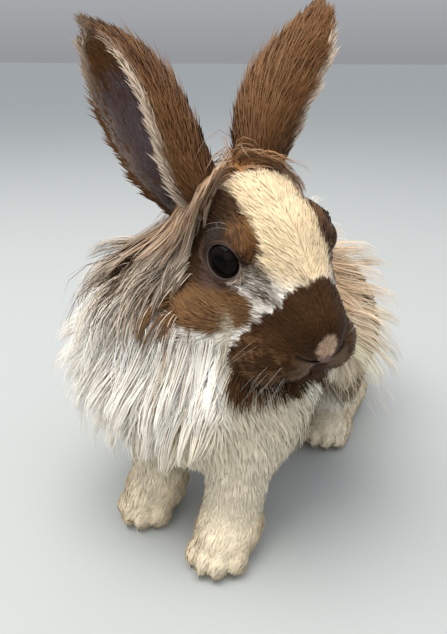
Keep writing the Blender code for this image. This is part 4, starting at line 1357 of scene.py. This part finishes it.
def resampled(lines, stations):
    """Lines read at fewer, even stations."""
    share = np.linspace(0, lines.shape[1] - 1, stations)
    low = np.clip(np.floor(share).astype(int), 0, lines.shape[1] - 2)
    part = (share - low)[None, :, None]
    return lines[:, low] * (1 - part) + lines[:, low + 1] * part


# %% [markdown]
# ## Roots of the mane
# Roots are thickest at the temples and the crown, where the longest hair comes from one narrow
# band. There are few on the smooth bib of the chest, and none low on the body.

# %% Roots of the mane
MANE_STRANDS = 0.95


def mane_weight(points):
    """Strands to the square millimetre of skin."""
    behind = hairline(points)
    _, y, z = points.T
    reach = ramp(66, 82, z) * ramp(84, 60, y)
    _, forward, up = head_coords(points).T
    thick = 1.6 * ramp(-16, -4, up) + 1.2 * ramp(6, 14, up)
    thick = 1 + thick * ramp(-62, -48, forward) * ramp(18, 8, behind)
    return MANE_STRANDS * thick * ramp(-1, 4, behind) * reach * (1 - 0.97 * bib(points))


roots, normals, roots_uv = scatter(mane_weight(face_middle) * ~on_ear, SEED + 41)
count = len(roots)
chance = np.random.default_rng(SEED + 42)
side, forward, up = head_coords(roots).T
behind = hairline(roots)
flat_out = unit(normals * (1.0, 1.0, 0.0) + 1e-6)
on_skull = ramp(-62, -48, forward) * ramp(-62, -50, up)
crown = ramp(6, 16, up) * on_skull
temple = ramp(-16, -4, up) * (1 - crown) * on_skull
cheek = (1 - crown - temple) * on_skull
collar = 1 - on_skull
print(count, "roots of the mane:", int((crown > 0.5).sum()), "on the crown,",
      int((temple > 0.5).sum()), "on the temples,", int((cheek > 0.5).sum()), "on the cheeks")

# %% [markdown]
# ## The mane's paths
# From a parting on the crown the hair falls to both sides. Temple hair hangs over the cheek,
# cheek hair sweeps back, and the collar hangs from the neck. The outer strands of each place
# stand off more than the inner ones and flare out to their tips, most on the far side.

# %% Paths of the mane
FRONT = np.array([0.41, -0.91, 0.0])
far_side = ramp(0, 12, side)[:, None]
near_side = ramp(0, -20, side)
parting = np.where(side + 3.0 + 2.5 * ripple(roots, 9, 81) > 0, 1.0, -1.0)
crown_way = LEFT * parting[:, None] + AHEAD * 0.12
temple_way = DOWN * 0.9 + FRONT * 0.28 * (1 - far_side) + flat_out * 0.2
cheek_way = DOWN * 0.75 - AHEAD * (0.55 - 0.3 * far_side) + flat_out * (0.3 + 0.5 * far_side)
collar_way = DOWN * (0.9 - 0.3 * far_side) + flat_out * (0.42 + 0.3 * far_side)
heading = crown[:, None] * crown_way + temple[:, None] * temple_way
heading = heading + cheek[:, None] * cheek_way
heading = heading + collar[:, None] * collar_way
wander = ripples(roots, 16.0, 91)
heading = unit(unit(heading) + 0.13 * wander + chance.normal(0, 0.045, (count, 3)) + normals * 0.18)
length = (68.0 - 44.0 * (parting > 0)) * crown + 66.0 * temple
length = length + (54.0 - 16.0 * ramp(-24, -44, up)) * cheek
length = length + (50.0 - 18.0 * ramp(112, 86, roots[:, 2]) * near_side) * collar
length = length * ramp(-7, 18, behind) * chance.uniform(0.72, 1.08, count)
length = np.maximum(length, 8.0)
outer = chance.random(count)
height = 0.3 + (6.5 - 2.5 * cheek) * outer * ramp(0, 14, behind)
height = height + 6.0 * outer * crown * ramp(-2, 8, behind) * (parting < 0)
flare = 17.0 * outer ** 2 * ramp(4, 16, behind) * (1 + 0.9 * far_side[:, 0])
flare = flare * (1 - 0.75 * (crown + temple))
flare = flare * (1 - 0.5 * ramp(108, 86, roots[:, 2]) * near_side)
flare = flare + 9.0 * outer * ramp(-5, -25, side) * ramp(-12, -30, forward) * ramp(-14, -34, up)
fall = (2.8 * crown + 2.1 * temple + 1.8 * cheek + 1.3 * collar) * (1 - 0.45 * far_side[:, 0])
sway = 0.45 * ripples(roots, 24.0, 95) + chance.normal(0, 0.07, (count, 3))
lines, facings = walk(roots, heading, length, height, flare, fall, sway)
print(count, "strands of mane, mean length", length.mean().round(1))

# %% [markdown]
# ## Locks
# Hair that is brushed or damp clings together. A lock is made here by choosing one strand in
# about 17 as a leader, and drawing its neighbours to its path, more and more towards the tip.

# %% Gather strands into locks
LOCKS = 1100
LOCK_GATHER = 0.82
LOCK_POINT = 5
leaders = chance.choice(count, LOCKS, replace=False)
locks_tree = KDTree(LOCKS)
for number, leader in enumerate(leaders):
    locks_tree.insert(lines[leader, LOCK_POINT].tolist(), number)
locks_tree.balance()
own = np.array([locks_tree.find(point)[1] for point in lines[:, LOCK_POINT].tolist()])
guide = lines[leaders[own]]
gap = np.linalg.norm(guide[:, LOCK_POINT] - lines[:, LOCK_POINT], axis=1)
share = np.linspace(0, 1, lines.shape[1])
pull = (LOCK_GATHER * share ** 1.4)[None, :, None] * ramp(11, 6, gap)[:, None, None]
lines = lines + (guide - lines) * pull
print(LOCKS, "locks,", round(count / LOCKS, 1), "strands to a lock")

# %% [markdown]
# ## Colours of the mane
# The hair of crown and temples is mixed from six browns, a lock at a time, and fades to pale
# tips. On the far side of the head it goes from orange at the root to cream, with painted light
# making it brighter than its own colour.

# %% Colours of the mane
HAIR_KINDS = (CROWN, DARK_CROWN, TAN, BEIGE, GREY_BROWN, DARK)
CROWN_SHARES = (0.52, 0.26, 0.06, 0.04, 0.02, 0.10)
TEMPLE_SHARES = (0.14, 0.06, 0.20, 0.44, 0.08, 0.08)
base = markings_and_shade(roots)
lot = np.where(chance.random(count) < 0.3, chance.random(count), chance.random(LOCKS)[own])
by_crown = np.searchsorted(np.cumsum(CROWN_SHARES), lot * 0.999)
by_temple = np.searchsorted(np.cumsum(TEMPLE_SHARES), lot * 0.999)
lock_kind = np.where(crown > 0.5, by_crown, by_temple)
brown_hair = np.stack([linear(kind) for kind in HAIR_KINDS])[lock_kind]
warm = np.maximum(crown * ramp(-45, -37, forward), temple * ramp(-33, -25, forward))
warm = warm * (1 - 0.6 * (parting > 0) * crown) * (1 - 0.8 * ramp(8, 16, side) * (1 - crown))
warm = warm * np.where((chance.random(count) < 0.85) | (crown > 0.3), 1.0, 0.2)
brown_cheek = 0.7 * cheek * ramp(-22, -14, up) * ramp(4, 10, behind)
warm = np.maximum(warm, brown_cheek * (chance.random(count) < 0.6))
warm = np.maximum(warm, (chance.random(count) < 0.07) * 0.8 * (side < 0))
orange = (1 - warm) * ramp(8, 16, side)
near = blended(base, brown_hair, warm)
# Far side: its own orange-to-cream hair, lifted brighter as painted light.
near = laid(near, FAR_CREAM_AND_LIGHT, 0.95 * orange)
near = laid(near, FAR_ORANGE_AND_LIGHT, 0.85 * orange * ramp(-50, -15, up))
pale = warm * (1 - 0.6 * crown)
mid = laid(near, BEIGE, 0.65 * pale + 0.3 * orange)
far = laid(near, PALE_TIP, 0.88 * pale + 0.9 * orange)
tint = np.exp(chance.normal(0, 0.10, count) + 0.10 * chance.normal(0, 1, LOCKS)[own])[:, None, None]
print(int((warm > 0.5).sum()), "brown strands,", int((orange > 0.5).sum()), "orange to cream")

# %% [markdown]
# ## Pieces of the mane
# Each strand's colours run from near to mid to far along it, and its line is read at six
# points, which is enough for a smooth bend and keeps the triangles few.

# %% Pieces of the mane
STATIONS = 6
MID = 0.45
share = np.linspace(0, 1, STATIONS)[None, :, None]
to_mid = near[:, None] + (mid - near)[:, None] * share / MID
to_far = mid[:, None] + (far - mid)[:, None] * (share - MID) / (1 - MID)
colours = np.where(share < MID, to_mid, to_far) * tint
lines, facings = resampled(lines, STATIONS), resampled(facings, STATIONS)
half_width = chance.uniform(0.13, 0.27, count) * (1 + 0.3 * cheek)
PER_STRANDS = 5400
for number, start in enumerate(range(0, count, PER_STRANDS)):
    pick = slice(start, start + PER_STRANDS)
    strand_piece(f"mane_{number + 1}", lines[pick], facings[pick], half_width[pick],
                 colours[pick], roots_uv[pick])
print(count, "strands in pieces of up to", PER_STRANDS)

# %% [markdown]
# ## The beard
# Below the muzzle the brown fur grows long and hangs, so the muzzle has no hard lower edge.
# These strands are walked in the same way as the mane, from roots along the jaw.

# %% Beard
side, forward, up = head_coords(face_middle).T
on_jaw = ramp(19, 22, forward) * ramp(37, 32, forward) * ramp(-31, -36, up)
on_jaw = on_jaw * (up > -48) * (np.abs(side) < 27)
roots, normals, roots_uv = scatter(MANE_STRANDS * on_jaw * ~on_ear, SEED + 51)
count = len(roots)
chance = np.random.default_rng(SEED + 52)
side, forward, up = head_coords(roots).T
outer = chance.random(count)
heading = unit(DOWN * 0.9 - AHEAD * 0.3 + normals * 0.15 + chance.normal(0, 0.07, (count, 3)))
length = 21.0 * chance.uniform(0.5, 1.1, count) * (1 - 0.45 * ramp(26, 34, forward))
length = length * (0.3 + 0.7 * ramp(5, 16, np.abs(side)))
sway = chance.normal(0, 0.12, (count, 3))
height, fall = 0.4 + 1.6 * outer, np.full(count, 0.8)
lines, facings = walk(roots, heading, length, height, 3.0 * outer, fall, sway)
lines, facings = resampled(lines, STATIONS), resampled(facings, STATIONS)
near = linear(MUZZLE) * np.exp(chance.normal(0, 0.2, count))[:, None]
far = laid(near, CHEEK, 0.5 * chance.random(count))
colours = near[:, None] + (far - near)[:, None] * np.linspace(0, 1, STATIONS)[None, :, None]
strand_piece("beard", lines, facings, chance.uniform(0.13, 0.24, count), colours, roots_uv)
print(count, "strands of beard")

# %% [markdown]
# ## Eyes
# A rabbit's eye is large, dark and wet. The ball is smooth and glossy, with a brown iris that
# only shows in strong light, and a thin bare rim of lid runs round it.

# %% Eyes
iris_material, iris = new_material("dark_wet_eye")
iris.inputs["Roughness"].default_value = 0.04
iris.inputs["IOR"].default_value = 1.33
iris.inputs["Specular IOR Level"].default_value = 0.12
tree = iris_material.node_tree
eye_paint = tree.nodes.new("ShaderNodeAttribute")
eye_paint.attribute_name = "coat"
tree.links.new(eye_paint.outputs["Color"], iris.inputs["Base Color"])
rim_material, rim_shader = new_material("bare_lid")
rim_shader.inputs["Base Color"].default_value = (*linear(LID_GREY), 1.0)
rim_shader.inputs["Roughness"].default_value = 0.45
PUPIL_BLACK = (0.002, 0.0015, 0.0015)
IRIS_BROWN = (0.004, 0.002, 0.0012)
RIM_POINTS = 48


def smooth_shaded(thing):
    thing.data.polygons.foreach_set("use_smooth", np.ones(len(thing.data.polygons), bool))
    thing.data.update()


def tube(name, line, radii, sides=8, closed=False):
    """A round tube along a line of points, with one radius for each."""
    line, radii = np.asarray(line, float), np.asarray(radii, float)
    if closed:
        along = unit(np.roll(line, -1, axis=0) - np.roll(line, 1, axis=0))
    else:
        along = unit(np.gradient(line, axis=0))
    first = unit(np.cross(along, unit(np.array([0.3, 0.2, 1.0]))))
    second = np.cross(along, first)
    turn = (2 * np.pi * np.arange(sides) / sides)[None, :, None]
    around = first[:, None] * np.cos(turn) + second[:, None] * np.sin(turn)
    rings = line[:, None] + radii[:, None, None] * around
    shape = bmesh.new()
    verts = [[shape.verts.new(p) for p in ring] for ring in rings]
    pairs = list(zip(verts, verts[1:])) + ([(verts[-1], verts[0])] if closed else [])
    for near_ring, far_ring in pairs:
        for i in range(sides):
            j = (i + 1) % sides
            shape.faces.new((near_ring[i], near_ring[j], far_ring[j], far_ring[i]))
    if not closed:
        shape.faces.new(verts[0][::-1])
        shape.faces.new(verts[-1])
    bmesh.ops.recalc_face_normals(shape, faces=shape.faces)
    made = object_from(shape, name)
    smooth_shaded(made)
    return made


def to_metres(thing):
    set_points(thing.data, to_frame(points_of(thing.data)))


for word, side in SIDES.items():
    centre, axes = eye_centre(side), eye_axes(side)
    ball = egg_object("eyeball_" + word, centre, (EYE_RADIUS,) * 3, axes, 5)
    local = (points_of(ball.data) - centre) @ axes
    off_axis = np.hypot(local[:, 0], local[:, 1]) * (local[:, 2] > 0) + 9 * (local[:, 2] <= 0)
    ring = ramp(3.6, 4.4, off_axis) * ramp(7.6, 6.6, off_axis)
    paint_points(ball.data, np.tile(PUPIL_BLACK, (len(local), 1)) + ring[:, None] * IRIS_BROWN)
    ball.data.materials.append(iris_material)
    smooth_shaded(ball)
    to_metres(ball)
    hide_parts("eye_" + word)
    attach(ball, "root")
    turn = np.linspace(0, 2 * np.pi, RIM_POINTS, endpoint=False)
    wide, high = EYE_OPENING
    flat = np.stack([wide * np.cos(turn) * 0.98, high * np.sin(turn) * 0.98], axis=1)
    lift = np.sqrt(np.clip((EYE_RADIUS + 0.55) ** 2 - (flat ** 2).sum(axis=1), 1.0, None))
    rim_line = centre + np.hstack([flat, lift[:, None]]) @ axes.T
    rim = tube("lid_rim_" + word, rim_line, np.full(RIM_POINTS, 0.5), 10, closed=True)
    rim.data.materials.append(rim_material)
    to_metres(rim)
    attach(rim, "root")
print("eyes and lid rims")

# %% [markdown]
# ## Whiskers
# Whiskers are single long hairs that grow in rows from the pads beside the nose, with a few
# over each eye. They are strands of one colour, thinner than the mane's, and sag to their tips.

# %% Whiskers
WHISKER_COLOUR = (0.60, 0.56, 0.50, 1.0)
WHISKER_RADIUS = 0.06
WHISKER_RINGS = 8
whisker_material, whisker_shader = new_material("whisker_hair")
whisker_shader.inputs["Base Color"].default_value = WHISKER_COLOUR
whisker_shader.inputs["Roughness"].default_value = 0.35
chance = np.random.default_rng(SEED + 61)
whisker_lines, whisker_faces = [], []
share = np.linspace(0, 1, WHISKER_RINGS)[:, None]
for s in SIDES.values():
    for row in range(4):
        for place in range(5):
            start = on_head((s * (12 + 1.6 * place), 45 - 3.6 * place, -18 - 4.2 * row))
            droop = 0.55 if s < 0 else 0.05
            out = LEFT * s * (0.9 - 0.8 * droop) - UP * (droop + 0.15 * row)
            out = out - AHEAD * (0.35 if s > 0 else 0.05)
            out = unit(unit(out) + chance.normal(0, 0.13, 3))
            reach = chance.uniform(20, 34) + (14 if s < 0 and row > 1 else 0)
            sag = DOWN * reach * 0.22 * share ** 2 - AHEAD * reach * 0.12 * share ** 2
            whisker_lines.append(start + out * reach * share + sag)
            whisker_faces.append(np.tile(unit(np.cross(out, LEFT) + 1e-6), (WHISKER_RINGS, 1)))
    for place in range(2):
        start = on_head((s * (19 + place), -2 + 4 * place, 12.5))
        out = unit(LEFT * s * 0.6 + UP * 0.35 - AHEAD * (0.7 + 0.2 * place))
        whisker_lines.append(start + out * 16 * share + DOWN * 9.0 * share ** 2)
        whisker_faces.append(np.tile(AHEAD, (WHISKER_RINGS, 1)))
whisker_lines, whisker_faces = np.stack(whisker_lines), np.stack(whisker_faces)
whiskers = strand_piece("whiskers", whisker_lines, whisker_faces,
                        np.full(len(whisker_lines), WHISKER_RADIUS),
                        np.full(whisker_lines.shape, 0.8), nearest_uv(whisker_lines[:, 0]))
FUR_PIECES.remove(whiskers)
whiskers.data.materials.append(whisker_material)
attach(whiskers, "root")
print(len(whisker_lines), "whiskers")

# %% [markdown]
# ## Claws
# The claws are short dark horn, mostly hidden in the fur of the toes. Each is a tapered tube
# that starts in its toe and bends down, and all of them are one piece.

# %% Claws
CLAW_COLOUR = (0.20, 0.15, 0.11, 1.0)
CLAW_RADIUS = 1.25
CLAW_HEIGHT = 4.6
claw_material, claw_shader = new_material("claw_horn")
claw_shader.inputs["Base Color"].default_value = CLAW_COLOUR
claw_shader.inputs["Roughness"].default_value = 0.35
claws = bmesh.new()
claw_lines = []
for s in SIDES.values():
    for across, ahead, splay in FORE_TOES:
        start = (s * (FORE_SPREAD + across), -s * FORE_STAGGER + ahead - 6.2, CLAW_HEIGHT)
        claw_lines.append((start, s * splay))
    for across, ahead, splay in HIND_TOE_ROW:
        start = (s * (HIND_SPREAD + across), HIND_TOES + ahead - 8.2, CLAW_HEIGHT)
        claw_lines.append((start, s * splay))
share = np.linspace(0, 1, 6)
for start, splay in claw_lines:
    way = turned(z=splay) @ np.array([0.0, -1.0, 0.0])
    line = np.array(start) + way * (2.4 * share)[:, None] + DOWN * 3.2 * (share ** 2)[:, None]
    claw = tube("claw", line, CLAW_RADIUS * (1 - 0.88 * share))
    claws.from_mesh(claw.data)
    bpy.data.objects.remove(claw, do_unlink=True)
claw_object = object_from(claws, "claws")
to_metres(claw_object)
smooth_shaded(claw_object)
claw_object.data.materials.append(claw_material)
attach(claw_object, "root")
print(len(claw_lines), "claws")

# %% [markdown]
# ## Fur and skin materials
# Both read the painted markings and break them up with fine noise. Fur is rough with a soft
# sheen at grazing angles. The skin under it is the same pattern, darker, with a fine bump.


# %% Materials
def coat_material(name, gain, noise_size, contrast, roughness, sheen):
    """The painted markings, varied by a noise of this many waves to the metre."""
    material, shader = new_material(name)
    nodes, links = material.node_tree.nodes, material.node_tree.links
    paint = nodes.new("ShaderNodeAttribute")
    paint.attribute_name = "coat"
    place = nodes.new("ShaderNodeTexCoord")
    noise = nodes.new("ShaderNodeTexNoise")
    noise.inputs["Scale"].default_value = noise_size
    noise.inputs["Detail"].default_value = 4.0
    spread = nodes.new("ShaderNodeMapRange")
    spread.inputs["From Min"].default_value = 0.3
    spread.inputs["From Max"].default_value = 0.7
    spread.inputs["To Min"].default_value = gain * (1 - contrast)
    spread.inputs["To Max"].default_value = gain * (1 + contrast)
    shade = nodes.new("ShaderNodeVectorMath")
    shade.operation = "SCALE"
    links.new(place.outputs["Object"], noise.inputs["Vector"])
    links.new(noise.outputs["Fac"], spread.inputs["Value"])
    links.new(paint.outputs["Color"], shade.inputs[0])
    links.new(spread.outputs["Result"], shade.inputs["Scale"])
    links.new(shade.outputs["Vector"], shader.inputs["Base Color"])
    shader.inputs["Roughness"].default_value = roughness
    shader.inputs["Specular IOR Level"].default_value = 0.10
    shader.inputs["Sheen Weight"].default_value = sheen
    shader.inputs["Sheen Roughness"].default_value = 0.5
    return material, shader, noise


fur_material, _, _ = coat_material(
    "soft_fur", gain=1.0, noise_size=160.0, contrast=0.10, roughness=0.62, sheen=0.06)
skin_material, skin_shader, skin_noise = coat_material(
    "skin_under_fur", gain=0.82, noise_size=420.0, contrast=0.15, roughness=0.7, sheen=0.0)
bump = skin_material.node_tree.nodes.new("ShaderNodeBump")
bump.inputs["Strength"].default_value = 0.35
bump.inputs["Distance"].default_value = 0.0006
skin_material.node_tree.links.new(skin_noise.outputs["Fac"], bump.inputs["Height"])
skin_material.node_tree.links.new(bump.outputs["Normal"], skin_shader.inputs["Normal"])
print("materials:", [material.name for material in bpy.data.materials])

# %% [markdown]
# ## Colours of the skin
# Where fur is thin the skin shows, so it carries the same markings as the fur, and its own ones
# on the nose and on the lids, with painted shade in the nostrils. A point on an ear looks up the
# nearest place of the ear's leaf, and whether it lies on its back or inside.

# %% Paint the skin
vertex_colour = markings_and_shade(skin_points)
vertex_colour = laid(vertex_colour, NOSE_GREY, nose_pad(skin_points))
# Painted shade in the nostril slits, where the openings go into the nose.
vertex_colour = laid(vertex_colour, NOSTRIL_SHADE, ramp(2.0, 1.1, nostril_gap(skin_points)))
on_ear_point = np.zeros(len(skin_points), bool)
on_ear_point[np.unique(skin_faces[on_ear])] = True
for ear_side in SIDES.values():
    along, across = np.meshgrid(np.linspace(0, 1, 60), np.linspace(-1, 1, 41), indexing="ij")
    leaf = ear_surface(ear_side, along, across, np.zeros_like(along)).reshape(-1, 3)
    leaf_in = ear_surface(ear_side, along, across, np.full_like(along, 1.0)).reshape(-1, 3) - leaf
    leaf_tree = KDTree(len(leaf))
    for number, point in enumerate(leaf.tolist()):
        leaf_tree.insert(point, number)
    leaf_tree.balance()
    for index in np.nonzero(on_ear_point)[0]:
        _, number, gap = leaf_tree.find(skin_points[index].tolist())
        if gap < 4:
            back = (skin_points[index] - leaf[number]) @ leaf_in[number] < 0
            place = (along.ravel()[number:number + 1], across.ravel()[number:number + 1])
            vertex_colour[index] = ear_marking_and_shade(ear_side, *place, np.array([back]))[0]
for s in SIDES.values():
    local = eye_coords(skin_points, s)
    lid = ramp(11.5, 9.5, np.linalg.norm(local, axis=1)) * (local[:, 2] > 0)
    vertex_colour = laid(vertex_colour, LID_GREY, lid)
paint_points(skin.data, vertex_colour)
skin.data.materials.clear()
skin.data.materials.append(skin_material)
to_metres(skin)
smooth_shaded(skin)
print(int(on_ear_point.sum()), "points of the skin painted as ears")

# %% [markdown]
# ## What stands for what
# The skin replaces every solid but the eyes, and skin and fur ride on the one body. Each piece
# of fur takes the fur's material.

# %% Replace, ride and give the fur its material
FLESH = [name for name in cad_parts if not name.startswith("eye_")]
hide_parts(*FLESH)
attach(skin, "root")
for piece in FUR_PIECES:
    piece.data.materials.append(fur_material)
    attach(piece, "root")
print(len(FLESH), "solids replaced by the skin,", len(FUR_PIECES), "pieces of fur")
